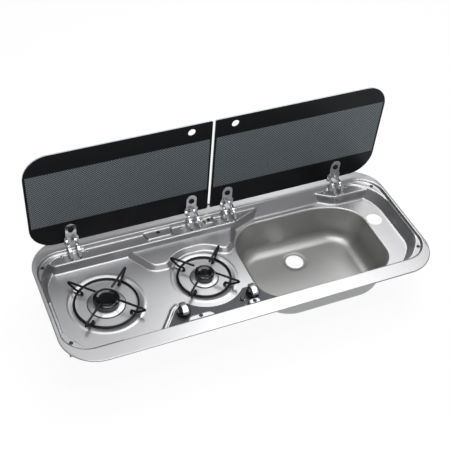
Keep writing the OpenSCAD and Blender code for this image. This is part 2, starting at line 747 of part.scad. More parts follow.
module knob_grip(x) {
    arch_r = 22;
    color("silver") translate([x, knob_y, knob_top - grip_sink]) intersection() {
        cylinder(r = knob_r - 0.4, h = grip_sink + grip_rise);
        translate([-grip_w / 2, -knob_r, 0]) cube([grip_w, 2 * knob_r, grip_sink + grip_rise]);
        translate([-knob_r, 0, grip_sink + grip_rise - arch_r]) rotate([0, 90, 0]) cylinder(r = arch_r, h = 2 * knob_r);
    }
}

// Gas taps under the deck, with a stem for the knob and a plunger that opens when it is pushed
module valve(x) {
    color("goldenrod") translate([x, knob_y, 0]) difference() {
        union() {
            translate([0, 0, valve_bottom]) cylinder(r = valve_r, h = under_deck - 3 - valve_bottom);
            translate([0, 0, under_deck - 3]) cylinder(r = 8, h = 3);
            translate([0, 0, pipe_z]) rotate([-90, 0, 0]) cylinder(r = boss_r, h = valve_r + 2);
        }
        translate([0, 0, stem_bottom - plunger_h - knob_push - 0.5])
            cylinder(r = stem_r + pin_gap, h = under_deck - stem_bottom + plunger_h + knob_push + 0.5 + cut);
        translate([0, valve_r - 2, pipe_z]) rotate([-90, 0, 0]) cylinder(r = pipe_r + pin_gap, h = 4 + cut);
    }
}

module valve_stem(x) {
    color("lightgray") translate([x, knob_y, stem_bottom]) cylinder(r = stem_r, h = knob_base_z + knob_bore - 0.2 - stem_bottom);
}

module valve_plunger(x) {
    color("gold") translate([x, knob_y, stem_bottom - plunger_h]) cylinder(r = stem_r, h = plunger_h);
}

// Igniter: a button that runs in its body under the deck
module igniter_button() {
    seat = deck_z + button_lift;
    color([0.16, 0.05, 0.05]) translate([button_x, button_y, 0]) {
        translate([0, 0, button_foot]) cylinder(r = button_stem_r, h = seat + button_push - button_foot);
        translate([0, 0, seat + button_push]) cylinder(r = button_r, h = button_h);
    }
}

module igniter_body() {
    color("black") translate([button_x, button_y, 0]) difference() {
        translate([0, 0, igniter_bottom]) cylinder(r = 9, h = under_deck - igniter_bottom);
        translate([0, 0, button_foot - button_push - slide_gap])
            cylinder(r = button_stem_r + pin_gap, h = under_deck - button_foot + button_push + slide_gap + cut);
    }
}

// A wire or pipe through points: straight runs with a slightly fuller ball at each bend
module run(points, r) {
    last = len(points) - 1;
    for (i = [0:last - 1]) {
        d = points[i + 1] - points[i];
        translate(points[i]) rotate([0, acos(d[2] / norm(d)), atan2(d[1], d[0])]) cylinder(r = r, h = norm(d));
    }
    if (last > 1) for (i = [1:last - 1]) translate(points[i]) sphere(r = bend_full * r);
}

// The pipe that feeds both taps, with its free end at the left
module gas_rail() {
    left_end = knob_x[0] - 22;
    color("goldenrod") translate([0, rail_y, rail_z]) rotate([0, 90, 0]) {
        translate([0, 0, left_end]) cylinder(r = rail_r, h = knob_x[1] + 10 - left_end);
        translate([0, 0, left_end - inlet_len]) cylinder(r = inlet_r, h = inlet_len);
    }
}

module burner_pipe(x, tap, cap_radius) {
    end_y = burner_y - burner_hole_r(cap_radius) - cup_boss - 3;
    color("darkgoldenrod") run([[tap, knob_y + valve_r - 1, pipe_z], [tap, pipe_y, pipe_z],
        [x, pipe_y, pipe_z], [x, end_y, pipe_z]], pipe_r);
}

// Burners: a cup under the deck, a trim ring on it, a ported head and an enamelled cap
function probe_at(x, cap_radius, side) = let (turn = 90 + side * probe_turn)
    [x + (cap_radius + probe_out) * cos(turn), burner_y + (cap_radius + probe_out) * sin(turn), 0];

module burner_cup(x, cap_radius) {
    hole = burner_hole_r(cap_radius);
    top = dish_z - sheet;
    color("lightgray") difference() {
        translate([x, burner_y, 0]) union() {
            rotate_extrude() polygon([
                [0, cup_bottom], [hole - 4, cup_bottom], [hole + 1, cup_bottom + 6], [hole + 1, top - 1.5],
                [cap_radius + 8, top - 1.5], [cap_radius + 8, top], [hole - 1, top], [hole - 1, head_foot],
                [hole - 3, head_foot], [hole - 3, cup_bottom + 8], [hole - 6, cup_bottom + 2.5], [0, cup_bottom + 2.5]]);
            translate([0, -hole, pipe_z]) rotate([90, 0, 0]) cylinder(r = boss_r, h = cup_boss);
        }
        translate([x, burner_y - hole - 3, pipe_z]) rotate([90, 0, 0]) cylinder(r = pipe_r + pin_gap, h = cup_boss + 3 + cut);
        for (side = [-1, 1]) {
            p = probe_at(x, cap_radius, side);
            translate([p[0], p[1], top - 3]) cylinder(r = probe_r + pin_gap, h = 5);
        }
    }
}

module burner_trim(x, cap_radius) {
    outer = cap_radius * trim_share;
    inner = cap_radius - 1.5;
    color("whitesmoke") difference() {
        translate([x, burner_y, dish_z]) rotate_extrude() polygon([
            [outer, 0], [outer, 1.6], [outer - 1, 2.2], [cap_radius + 1, 4.6], [inner, 4.6], [inner, 3.6],
            [cap_radius + 0.6, 3.6], [outer - 1.4, 1.2], [outer - 1.4, 0]]);
        for (side = [-1, 1]) {
            p = probe_at(x, cap_radius, side);
            translate([p[0], p[1], dish_z - cut]) cylinder(r = probe_r + slide_gap, h = 8);
        }
    }
}

module burner_head(x, cap_radius) {
    hole = burner_hole_r(cap_radius);
    crown = cap_radius - 1.8;
    top = cap_top_z - cap_edge - 1.6;
    low = dish_z + 5;
    ports = 24;
    color("darkgray") translate([x, burner_y, 0]) difference() {
        rotate_extrude() polygon([
            [8, head_foot], [hole - 1.3, head_foot], [hole - 1.3, low], [crown, low + 1.5], [crown, top],
            [crown - 4, top], [crown - 4, low + 3], [8, low + 3]]);
        for (k = [0:ports - 1]) rotate([0, 0, (k + 0.5) * 360 / ports])
            translate([crown - 5, -0.9, top - 4]) cube([6, 1.8, 4 + cut]);
    }
}

module burner_cap(x, cap_radius) {
    low = cap_top_z - cap_edge - 1.6;
    lip = cap_radius - 6.2;
    color("black") translate([x, burner_y, low]) rotate_extrude() polygon([
        [0, 1], [lip - 2, 1], [lip - 2, -2], [lip, -2], [lip, 0], [cap_radius - 0.6, 0], [cap_radius, 0.8],
        [cap_radius, cap_edge - 0.8], [cap_radius - 1, cap_edge + 0.2], [cap_radius - 5, cap_edge + 1.4],
        [cap_radius - 10, cap_edge + 1.6], [0, cap_edge + 1]]);
}

// Flame sensor and spark electrode behind each burner, each in one piece with its lead

// A lead that drops from one place, runs level and rises to another
module lead(from, low, to, end_z) {
    run([[from[0], from[1], probe_low + 1], [from[0], from[1], low], [to[0], to[1], low],
        [to[0], to[1], end_z]], lead_r);
}

module probe(at, tip_r, tip_z, collar_z) {
    translate([at[0], at[1], 0]) rotate_extrude() polygon([
        [0, probe_low], [probe_r, probe_low], [probe_r, collar_z], [tip_r, collar_z + 1], [tip_r, tip_z], [0, tip_z]]);
}

module thermocouple(x, tap, cap_radius) {
    p = probe_at(x, cap_radius, 1);
    color("peru") {
        probe(p, 1.5, cap_top_z - 8, dish_z + 4);
        lead(p, probe_low - 10, [tap, knob_y], valve_bottom - seat_gap);
    }
}

module electrode(x, cap_radius, from_x) {
    p = probe_at(x, cap_radius, -1);
    color("white") {
        probe(p, 0.8, cap_top_z - 6, cap_top_z - 12);
        lead(p, probe_low - 16, [from_x, button_y], igniter_bottom - seat_gap);
    }
}

// Pan supports: a wire ring with four bent fingers on soft feet
module pan_support(x, ring_radius) {
    wire = finger_wire / 2;
    tip_z = finger_top_z - wire;
    over_z = ring_z + ring_wire / 2 + wire - weld_sink;
    foot_r = ring_radius - foot_in;
    color([0.08, 0.08, 0.08]) translate([x, burner_y, 0]) {
        translate([0, 0, ring_z]) rotate_extrude() translate([ring_radius, 0]) circle(d = ring_wire);
        for (turn = [45:90:315]) rotate([0, 0, turn])
            run([[foot_r, 0, dish_z + 2.6], [foot_r, 0, over_z], [ring_radius + 4, 0, over_z],
                 [ring_radius + finger_reach - wire, 0, tip_z], [finger_inner, 0, tip_z]], wire);
    }
}

module support_feet(x, ring_radius) {
    color([0.05, 0.05, 0.05]) translate([x, burner_y, dish_z]) for (turn = [45:90:315]) rotate([0, 0, turn])
        translate([ring_radius - foot_in, 0, 0]) difference() {
            cylinder(r = 4, h = foot_h - 1.6);
            translate([0, 0, 2.5]) cylinder(r = finger_wire / 2 + pin_gap, h = foot_h);
        }
}

tray();
sink_bowl();
rim_seal();
fixing_screws();
screw_caps();
fixing_clamps();
hinge_bracket(hinge_x[0]);  // hinge_bracket_1
hinge_bracket(hinge_x[1]);  // hinge_bracket_2
hinge_bracket(hinge_x[2]);  // hinge_bracket_3
hinge_bracket(hinge_x[3]);  // hinge_bracket_4
hinge_pin(hinge_x[0]);  // hinge_pin_1
hinge_pin(hinge_x[1]);  // hinge_pin_2
hinge_pin(hinge_x[2]);  // hinge_pin_3
hinge_pin(hinge_x[3]);  // hinge_pin_4
hinge_arm(hinge_x[0]);  // hinge_arm_1
hinge_arm(hinge_x[1]);  // hinge_arm_2
hinge_arm(hinge_x[2]);  // hinge_arm_3
hinge_arm(hinge_x[3]);  // hinge_arm_4
hinge_studs();
lid_glass(-1);  // lid_glass_left
lid_glass(1);  // lid_glass_right
lid_bushes(-1);  // lid_bushes_left
lid_bushes(1);  // lid_bushes_right
lid_screws(-1);  // lid_screws_left
lid_screws(1);  // lid_screws_right
lid_caps(-1);  // lid_caps_left
lid_caps(1);  // lid_caps_right
control_panel();
knob(knob_x[0]);  // knob_left
knob(knob_x[1]);  // knob_right
knob_grip(knob_x[0]);  // knob_grip_left
knob_grip(knob_x[1]);  // knob_grip_right
valve(knob_x[0]);  // valve_left
valve(knob_x[1]);  // valve_right
valve_stem(knob_x[0]);  // valve_stem_left
valve_stem(knob_x[1]);  // valve_stem_right
valve_plunger(knob_x[0]);  // valve_plunger_left
valve_plunger(knob_x[1]);  // valve_plunger_right
igniter_button();
igniter_body();
gas_rail();
burner_pipe(left_burner_x, knob_x[0], left_cap_r);  // burner_pipe_left
burner_pipe(right_burner_x, knob_x[1], right_cap_r);  // burner_pipe_right
burner_cup(left_burner_x, left_cap_r);  // burner_cup_left
burner_cup(right_burner_x, right_cap_r);  // burner_cup_right
burner_trim(left_burner_x, left_cap_r);  // burner_trim_left
burner_trim(right_burner_x, right_cap_r);  // burner_trim_right
burner_head(left_burner_x, left_cap_r);  // burner_head_left
burner_head(right_burner_x, right_cap_r);  // burner_head_right
burner_cap(left_burner_x, left_cap_r);  // burner_cap_left
burner_cap(right_burner_x, right_cap_r);  // burner_cap_right
thermocouple(left_burner_x, knob_x[0], left_cap_r);  // thermocouple_left
thermocouple(right_burner_x, knob_x[1], right_cap_r);  // thermocouple_right
electrode(left_burner_x, left_cap_r, button_x - 4);  // electrode_left
electrode(right_burner_x, right_cap_r, button_x + 4);  // electrode_right
pan_support(left_burner_x, left_ring_r);  // pan_support_left
pan_support(right_burner_x, right_ring_r);  // pan_support_right
support_feet(left_burner_x, left_ring_r);  // support_feet_left
support_feet(right_burner_x, right_ring_r);  // support_feet_right
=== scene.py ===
"""Dresses a drop-in hob and sink unit: pressed tray, bowl, glass lids, hinges, gas taps and burners.

Sizes are millimetres in the frame of the CAD, and meshes are put into Blender in metres.
"""

import logging
from collections.abc import Callable
from dataclasses import dataclass
from enum import Enum

import bpy
import numpy as np
from mathutils import Matrix
from mathutils.geometry import delaunay_2d_cdt

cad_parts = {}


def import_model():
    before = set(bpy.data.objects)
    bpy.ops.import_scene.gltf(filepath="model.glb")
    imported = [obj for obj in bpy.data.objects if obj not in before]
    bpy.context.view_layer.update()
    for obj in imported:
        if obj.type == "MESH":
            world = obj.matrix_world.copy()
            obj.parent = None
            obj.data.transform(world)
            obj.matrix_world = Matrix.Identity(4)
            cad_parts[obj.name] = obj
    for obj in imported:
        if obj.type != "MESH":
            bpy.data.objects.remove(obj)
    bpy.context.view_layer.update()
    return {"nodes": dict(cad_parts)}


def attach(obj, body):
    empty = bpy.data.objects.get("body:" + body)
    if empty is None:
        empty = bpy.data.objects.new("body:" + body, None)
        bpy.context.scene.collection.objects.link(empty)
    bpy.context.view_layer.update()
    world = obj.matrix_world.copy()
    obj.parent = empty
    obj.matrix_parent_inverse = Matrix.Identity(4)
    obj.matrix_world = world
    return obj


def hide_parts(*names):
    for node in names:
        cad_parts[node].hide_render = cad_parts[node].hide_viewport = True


LOG = logging.getLogger("hob_sink")
MM = 0.001
TINY = 1e-9
SIDES = (-1, 1)
Array = np.ndarray
Field = Callable[[Array, Array], Array]
Socket = bpy.types.NodeSocket


class Body(Enum):
    """The moving bodies of the unit, by their names in the frame."""

    UNIT = "unit"
    LID_LEFT = "lid_left"
    LID_RIGHT = "lid_right"
    TAP_LEFT = "tap_left"
    TAP_RIGHT = "tap_right"
    BUTTON = "button"


class Side(Enum):
    """The two sides of the unit."""

    LEFT = -1
    RIGHT = 1

    def name_of(self, stem: str) -> str:
        """A piece's or a body's name with the side."""
        return f"{stem}_{self.name.lower()}"


# ---------------------------------------------------------------- outlines and heights


def unit_rows(v: Array) -> Array:
    """Rows of v at length one."""
    return v / np.linalg.norm(v, axis=-1, keepdims=True)


def turned_left(v: Array) -> Array:
    """Rows of v turned a quarter to the left."""
    return np.stack([-v[..., 1], v[..., 0]], -1)


def outline(corners: list, inset: float = 0.0, steps: int = 14) -> Array:
    """A closed outline with rounded corners, running anticlockwise.

    Each corner is an arc tangent to its two sides, of radius r less the inset where it bulges outwards.

    Args:
        corners: rows of x, y and corner radius.
        inset: how far the outline is moved inwards.
        steps: spans in each arc.

    Returns:
        The points, one row each.
    """
    least_radius = 0.4
    rows = np.array(corners, float)
    at = rows[:, :2]
    d1 = unit_rows(at - np.roll(at, 1, 0))
    d2 = unit_rows(np.roll(at, -1, 0) - at)
    bend = np.sign(d1[:, 0] * d2[:, 1] - d1[:, 1] * d2[:, 0])[:, None]
    half = np.arccos(np.clip((d1 * d2).sum(1, keepdims=True), -1, 1)) / 2
    both = turned_left(d1) + turned_left(d2)
    tip = at + both * inset / (1 + (d1 * d2).sum(1, keepdims=True))
    radius = np.maximum(rows[:, 2:] - bend * inset, least_radius)
    middle = tip + bend * unit_rows(both) * radius / np.cos(half)
    away = -bend * turned_left(d1)
    angle = np.arctan2(away[:, 1:], away[:, :1]) + bend * 2 * half * np.linspace(0, 1, steps + 1)
    arc = np.stack([np.cos(angle), np.sin(angle)], -1) * radius[..., None]
    return (middle[:, None] + arc).reshape(-1, 2)


def box_corners(x0: float, y0: float, x1: float, y1: float, r: float) -> list:
    """Corners of a rounded rectangle."""
    return [[x0, y0, r], [x1, y0, r], [x1, y1, r], [x0, y1, r]]


def circle(x: float, y: float, r: float, steps: int = 96) -> Array:
    """A circle's points, anticlockwise."""
    turn = np.arange(steps) * 2 * np.pi / steps
    return np.stack([x + r * np.cos(turn), y + r * np.sin(turn)], -1)


def at_level(flat: Array, z: float | Array) -> Array:
    """Flat points at a height, or each at its own."""
    return np.column_stack([flat, np.full(len(flat), z)])


def around(x: Array, y: Array, ring: Array, reach: float) -> Array:
    """Which places lie in the box round an outline, with the reach added on each side."""
    low, high = ring.min(0) - reach, ring.max(0) + reach
    return (x > low[0]) & (x < high[0]) & (y > low[1]) & (y < high[1])


def depth_in(x: Array, y: Array, ring: Array) -> Array:
    """Distance to a closed outline, positive inside: least distance to its sides, signed by crossing count.

    Args:
        x: places along x.
        y: places along y, of the same shape.
        ring: the outline's points.

    Returns:
        The distances, of the shape of x.
    """
    most_at_once = 8000
    p = np.stack([np.ravel(x), np.ravel(y)], -1)
    a, b = ring, np.roll(ring, -1, 0)
    ab = b - a
    rise = np.where(ab[:, 1] == 0, 1.0, ab[:, 1])
    out = np.empty(len(p))
    for part in np.array_split(np.arange(len(p)), len(p) // most_at_once + 1):
        ap = p[part][:, None] - a
        t = np.clip((ap * ab).sum(-1) / np.maximum((ab * ab).sum(-1), 1e-12), 0, 1)
        near = np.linalg.norm(ap - t[..., None] * ab, axis=-1).min(1)
        crosses = (a[:, 1] > p[part, 1:]) != (b[:, 1] > p[part, 1:])
        right_of = p[part, :1] < a[:, 0] + ap[..., 1] / rise * ab[:, 0]
        out[part] = np.where((crosses & right_of).sum(1) % 2 == 1, near, -near)
    return out.reshape(np.shape(x))


def box_depth(x: Array, y: Array, box: tuple, r: float) -> Array:
    """Distance into a rounded rectangle: r less the distance to the rectangle of its corners' middles.

    Args:
        x: places along x.
        y: places along y, of the same shape.
        box: least x, least y, greatest x and greatest y.
        r: radius of the corners.

    Returns:
        The distances, of the shape of x.
    """
    x0, y0, x1, y1 = box
    qx = abs(x - (x0 + x1) / 2) - (x1 - x0) / 2 + r
    qy = abs(y - (y0 + y1) / 2) - (y1 - y0) / 2 + r
    return r - np.hypot(np.maximum(qx, 0), np.maximum(qy, 0)) - np.minimum(np.maximum(qx, qy), 0)


def pressed_section(s: Array, low: float, high: float, foot_r: float, edge_r: float, slope: float) -> Array:
    """Height of a pressed step: a level, a foot arc, a straight wall, an edge arc and the upper level.

    Args:
        s: distance from the step's foot, rising to the upper level.
        low: height of the lower level.
        high: height of the upper level.
        foot_r: radius of the arc at the foot.
        edge_r: radius of the arc at the edge.
        slope: run of the wall between the ends of the two arcs' heights.

    Returns:
        The height at each distance.
    """
    steep = (high - edge_r - low - foot_r) / slope
    turn = np.arctan(steep)
    s_low, s_high = foot_r - foot_r / steep, foot_r + slope + edge_r / steep
    t_low, t_high = foot_r * np.tan(turn / 2), edge_r * np.tan(turn / 2)
    foot = low + foot_r - np.sqrt(np.maximum(foot_r**2 - (s - s_low + t_low) ** 2, 0))
    edge = high - edge_r + np.sqrt(np.maximum(edge_r**2 - (s_high + t_high - s) ** 2, 0))
    ends = [s_low - t_low, s_low + t_low * np.cos(turn), s_high - t_high * np.cos(turn), s_high + t_high]
    return np.select([s < end for end in ends], [low, foot, low + (s - s_low) * steep, edge], high)


def smooth_step(t: Array) -> Array:
    """An S from 0 to 1: 3t squared less 2t cubed."""
    t = np.clip(t, 0, 1)
    return t * t * (3 - 2 * t)


def smooth_max(a: Array, b: Array, k: float | Array) -> Array:
    """The greater of two, blended where they differ by less than k: b + (a - b)h + k h(1 - h)."""
    h = np.clip(0.5 + 0.5 * (a - b) / k, 0, 1)
    return b + (a - b) * h + k * h * (1 - h)


# ---------------------------------------------------------------- meshes


@dataclass
class Shape:
    """Points in millimetres with faces, before they become a Blender mesh."""

    points: Array
    faces: list

    def moved(self, x: float = 0.0, y: float = 0.0, z: float = 0.0) -> "Shape":
        """The same shape at another place."""
        return Shape(self.points + np.array([x, y, z]), self.faces)

    def turned(self, axis: str, degrees: float, about: tuple = (0.0, 0.0, 0.0)) -> "Shape":
        """The same shape turned about a line along a coordinate axis.

        Args:
            axis: the axis, X, Y or Z.
            degrees: the turn.
            about: a point on the line.

        Returns:
            The turned shape.
        """
        matrix = np.array(Matrix.Rotation(np.radians(degrees), 3, axis))
        centre = np.array(about)
        return Shape((self.points - centre) @ matrix.T + centre, self.faces)


def joined(*shapes: Shape) -> Shape:
    """Several shapes as one.

    Args:
        shapes: the shapes, whose points are kept in this order.

    Returns:
        One shape with all their faces.
    """
    starts = np.cumsum([0] + [len(s.points) for s in shapes[:-1]])
    faces = [np.asarray(f) + start for s, start in zip(shapes, starts) for f in s.faces]
    return Shape(np.concatenate([s.points for s in shapes]), faces)


def ring_loft(rings: Array, capped: bool = False) -> Shape:
    """A skin through closed rings: each quad joins two neighbours on one ring to the same two on the next.

    Args:
        rings: an array of rings, points and coordinates.
        capped: whether flat faces close the first and the last ring.

    Returns:
        The skin.
    """
    m, n = rings.shape[:2]
    i = np.arange(n)
    j = np.arange(m - 1)[:, None] * n
    k = (i + 1) % n
    faces = [np.stack([i + j, k + j, k + j + n, i + j + n], -1).reshape(-1, 4)]
    if capped:
        faces += [i[None, ::-1], (i + (m - 1) * n)[None]]
    return Shape(rings.reshape(-1, 3), faces)


def level_loft(rows: list) -> Shape:
    """A skin through flat rings, from rows of a ring's points and its height."""
    return ring_loft(np.stack([at_level(flat, z) for flat, z in rows]))


def revolved(profile: list | Array, x: float = 0.0, y: float = 0.0, z: float = 0.0, steps: int = 72) -> Shape:
    """A profile of radius and height carried round the upright axis, with one point for each pole.

    Args:
        profile: rows of radius and height, with the solid on the left of the way they run.
        x: place of the axis.
        y: place of the axis.
        z: height that the profile's heights start from.
        steps: spans in the turn.

    Returns:
        The revolved skin.
    """
    rows = np.array(profile, float)
    off_axis = rows[rows[:, 0] > TINY]
    shape = level_loft([(circle(x, y, r, steps), z + up) for r, up in off_axis])
    i = np.arange(steps)
    after, last = (i + 1) % steps, (len(off_axis) - 1) * steps
    for (r, up), first, second in ((rows[0], after, i), (rows[-1], last + i, last + after)):
        if r <= TINY:
            shape.faces.append(np.stack([np.full(steps, len(shape.points)), first, second], -1))
            shape.points = np.vstack([shape.points, [x, y, z + up]])
    return shape


def rounded(points: list, radius: float, steps: int = 4) -> Array:
    """An open profile or path whose bends are even curves: (1 - t)^2 a + 2t(1 - t)p + t^2 b at each corner p.

    Args:
        points: the corners, one row each.
        radius: radius of the arc that each curve stands for, cut short on a short side.
        steps: spans in each curve.

    Returns:
        The points, one row each.
    """
    most_of_side = 0.45
    p = np.array(points, float)
    d = np.diff(p, axis=0)
    length = np.linalg.norm(d, axis=1)
    d = d / length[:, None]
    turn = np.arccos(np.clip((d[:-1] * d[1:]).sum(1), -1, 1))
    trim = np.minimum(radius * np.tan(turn / 2), most_of_side * np.minimum(length[:-1], length[1:]))[:, None]
    t = np.linspace(0, 1, steps + 1)[None, :, None]
    a, b = (p[1:-1] - d[:-1] * trim)[:, None], (p[1:-1] + d[1:] * trim)[:, None]
    bends = (1 - t) ** 2 * a + 2 * t * (1 - t) * p[1:-1][:, None] + t**2 * b
    return np.vstack([p[:1], bends.reshape(-1, p.shape[1]), p[-1:]])


def inward(ring: Array, amount: float) -> Array:
    """A closed outline moved inwards, each point along the mean of its two sides' left normals.

    Args:
        ring: the outline's points, anticlockwise.
        amount: how far each point moves.

    Returns:
        The moved points.
    """
    side = unit_rows(np.roll(ring, -1, 0) - ring)
    normal = turned_left(side) + turned_left(np.roll(side, 1, 0))
    return ring + amount * unit_rows(normal)


def plate(edge: Array, holes: list, low: float, high: float, bevel: float = 0.4) -> Shape:
    """A flat plate with rounded rims: two faces triangulated between outline and holes, and rims lofted between.

    Args:
        edge: the outline, anticlockwise.
        holes: outlines of holes, anticlockwise.
        low: height of the underside.
        high: height of the top.
        bevel: size of the rounded rim.

    Returns:
        The closed plate.
    """
    rims = [edge] + [hole[::-1] for hole in holes]
    shrunk = [inward(ring, bevel) for ring in rims]
    starts = np.cumsum([0] + [len(r) for r in rims])
    spans = [np.stack([a + np.arange(b - a), a + (np.arange(b - a) + 1) % (b - a)], -1)
             for a, b in zip(starts[:-1], starts[1:])]
    flat = np.vstack(shrunk)
    cut = delaunay_2d_cdt([tuple(p) for p in flat], np.vstack(spans).tolist(), [], 0, 1e-7)
    place, corners = np.array([tuple(v) for v in cut[0]]), np.array(cut[2])
    middle = place[corners].mean(1)
    inside = depth_in(middle[:, 0], middle[:, 1], shrunk[0]) > 0
    for ring in shrunk[1:]:
        inside &= depth_in(middle[:, 0], middle[:, 1], ring[::-1]) < 0
    faces = corners[inside]
    soft = bevel * (1 - np.cos(np.pi / 4))
    levels = [(bevel, low), (soft, low + soft), (0.0, low + bevel),
              (0.0, high - bevel), (soft, high - soft), (bevel, high)]
    walls = [level_loft([(inward(r, a), z) for a, z in levels]) for r in rims]
    return joined(Shape(at_level(place, high), [faces]), Shape(at_level(place, low), [faces[:, ::-1]]), *walls)


def tube(path: Array, radius: float, normal: tuple, closed: bool = False, sides: int = 16) -> Shape:
    """A round tube carried along a path that lies in a plane.

    A ring stands across the path at each point, between the plane's normal and that normal crossed with the way.

    Args:
        path: the points of the middle line.
        radius: the tube's radius.
        normal: the plane's normal.
        closed: whether the path is a closed loop.
        sides: points round the tube.

    Returns:
        The tube, with rounded ends if it is open.
    """
    swell = np.array([0.35, 0.75, 0.95])
    if closed:
        way = unit_rows(np.roll(path, -1, 0) - np.roll(path, 1, 0))
        size = np.full(len(path), radius)
    else:
        way = unit_rows(np.gradient(path, axis=0))
        out = radius * np.sqrt(1 - swell**2)
        path = np.vstack([path[:1] - way[:1] * out[:, None], path, path[-1:] + way[-1:] * out[::-1, None]])
        size = np.concatenate([radius * swell, np.full(len(way), radius), radius * swell[::-1]])
        way = np.vstack([way[:1].repeat(len(swell), 0), way, way[-1:].repeat(len(swell), 0)])
    up = np.broadcast_to(np.array(normal, float), way.shape)
    across = np.cross(up, way)
    turn = np.arange(sides) * 2 * np.pi / sides
    ring = np.cos(turn)[None, :, None] * across[:, None] + np.sin(turn)[None, :, None] * up[:, None]
    rings = path[:, None] + ring * size[:, None, None]
    return ring_loft(np.vstack([rings, rings[:1]]) if closed else rings, capped=not closed)


def grid_patch(xs: Array, ys: Array, domain: Field, height: Field, upwards: bool = True) -> Shape:
    """A level grid, kept where its cells lie in a domain, with its border moved onto the domain's edge.

    The border points go to p less g times the slope of g, where g is the distance into the domain.

    Args:
        xs: places of the grid lines along x.
        ys: places of the grid lines along y.
        domain: gives the distance into the domain.
        height: gives the height.
        upwards: whether the faces look up.

    Returns:
        The patch.
    """
    step, least_slope, rounds = 0.05, 0.2, 2
    x, y = np.meshgrid(xs, ys, indexing="ij")
    g = domain(x, y)
    keep = (g[:-1, :-1] + g[1:, :-1] + g[1:, 1:] + g[:-1, 1:]) > 0
    count = np.zeros(x.shape, int)
    for dx in (0, 1):
        for dy in (0, 1):
            count[dx:dx + keep.shape[0], dy:dy + keep.shape[1]] += keep
    used = count > 0
    border = used & (count < 4)
    px, py = x[border], y[border]
    for _ in range(rounds):
        gx = (domain(px + step, py) - domain(px - step, py)) / (2 * step)
        gy = (domain(px, py + step) - domain(px, py - step)) / (2 * step)
        size = np.maximum(gx**2 + gy**2, least_slope)
        near = domain(px, py)
        px, py = px - near * gx / size, py - near * gy / size
    x[border], y[border] = px, py
    number = np.full(x.shape, -1)
    number[used] = np.arange(used.sum())
    cells = np.stack([number[:-1, :-1], number[1:, :-1], number[1:, 1:], number[:-1, 1:]], -1)[keep]
    points = np.column_stack([x[used], y[used], height(x[used], y[used])])
    return Shape(points, [cells if upwards else cells[:, ::-1]])


def grid_lines(stops: list, steps: list, exact: list | tuple = ()) -> Array:
    """Lines spaced evenly between each two stops, with the nearest one moved to each exact place.

    Args:
        stops: places where the spacing changes, with the first and the last line.
        steps: the widest spacing in each stretch.
        exact: places that have to have a line.

    Returns:
        The lines' places.
    """
    parts = [np.linspace(a, b, int(np.ceil((b - a) / step)) + 1) for a, b, step in zip(stops, stops[1:], steps)]
    lines = np.unique(np.concatenate(parts))
    for place in exact:
        lines[np.argmin(abs(lines - place))] = place
    return np.unique(lines)


def build(name: str, shape: Shape, finish: "Finish", body: Body, node: str, slot: str, side: Side | None = None,
          smooth_angle: float = 40.0) -> bpy.types.Object:
    """Puts a shape into Blender as a piece of the object.

    Args:
        name: the piece's name, without the side where one is given.
        shape: its points and faces, in millimetres.
        finish: its finish.
        body: the body that it rides on.
        node: the CAD node that it stands for, without the side where one is given.
        slot: the record's material slot, which is not used.
        side: the side that both names end in.
        smooth_angle: the bend in degrees past which an edge stays sharp.

    Returns:
        The new object.
    """
    if side:
        name, node = side.name_of(name), side.name_of(node)
    mesh = bpy.data.meshes.new(name)
    blocks = [np.asarray(f, np.int32) for f in shape.faces if len(f)]
    loops = np.concatenate([f.ravel() for f in blocks])
    totals = np.concatenate([np.full(len(f), f.shape[1], np.int32) for f in blocks])
    mesh.vertices.add(len(shape.points))
    mesh.vertices.foreach_set("co", (shape.points * MM).astype(np.float32).ravel())
    mesh.loops.add(len(loops))
    mesh.loops.foreach_set("vertex_index", loops)
    mesh.polygons.add(len(totals))
    mesh.polygons.foreach_set("loop_start", np.concatenate([[0], np.cumsum(totals)[:-1]]).astype(np.int32))
    mesh.polygons.foreach_set("loop_total", totals)
    mesh.polygons.foreach_set("use_smooth", np.ones(len(totals), bool))
    mesh.update(calc_edges=True)
    mesh.validate()
    piece = bpy.data.objects.new(name, mesh)
    bpy.context.collection.objects.link(piece)
    mesh.set_sharp_from_angle(angle=np.radians(smooth_angle))
    mesh.materials.append(finish.material())
    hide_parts(node)
    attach(piece, body.value)
    LOG.info("%s: %d faces on %s", name, len(totals), body.value)
    return piece


# ---------------------------------------------------------------- finishes


def linear(code: str, alpha: float = 1.0) -> tuple:
    """A linear colour from an sRGB hex code, by the curve of the sRGB standard.

    Args:
        code: the code, with its leading sign.
        alpha: the colour's alpha.

    Returns:
        Red, green, blue and alpha.
    """
    c = np.array([int(code[i:i + 2], 16) for i in (1, 3, 5)]) / 255
    c = np.where(c <= 0.04045, c / 12.92, ((c + 0.055) / 1.055) ** 2.4)
    return (*c.tolist(), alpha)


def add(tree: bpy.types.NodeTree, kind: str, links: dict | None = None, **settings) -> bpy.types.Node:
    """Adds a node with its settings, and sets or links its inputs.

    Args:
        tree: the node tree.
        kind: the node's type without its ShaderNode prefix.
        links: input names or numbers to sockets or values.
        settings: the node's own settings.

    Returns:
        The node.
    """
    node = tree.nodes.new("ShaderNode" + kind)
    for key, value in settings.items():
        setattr(node, key, value)
    for key, value in (links or {}).items():
        if isinstance(value, Socket):
            tree.links.new(value, node.inputs[key])
        else:
            node.inputs[key].default_value = value
    return node


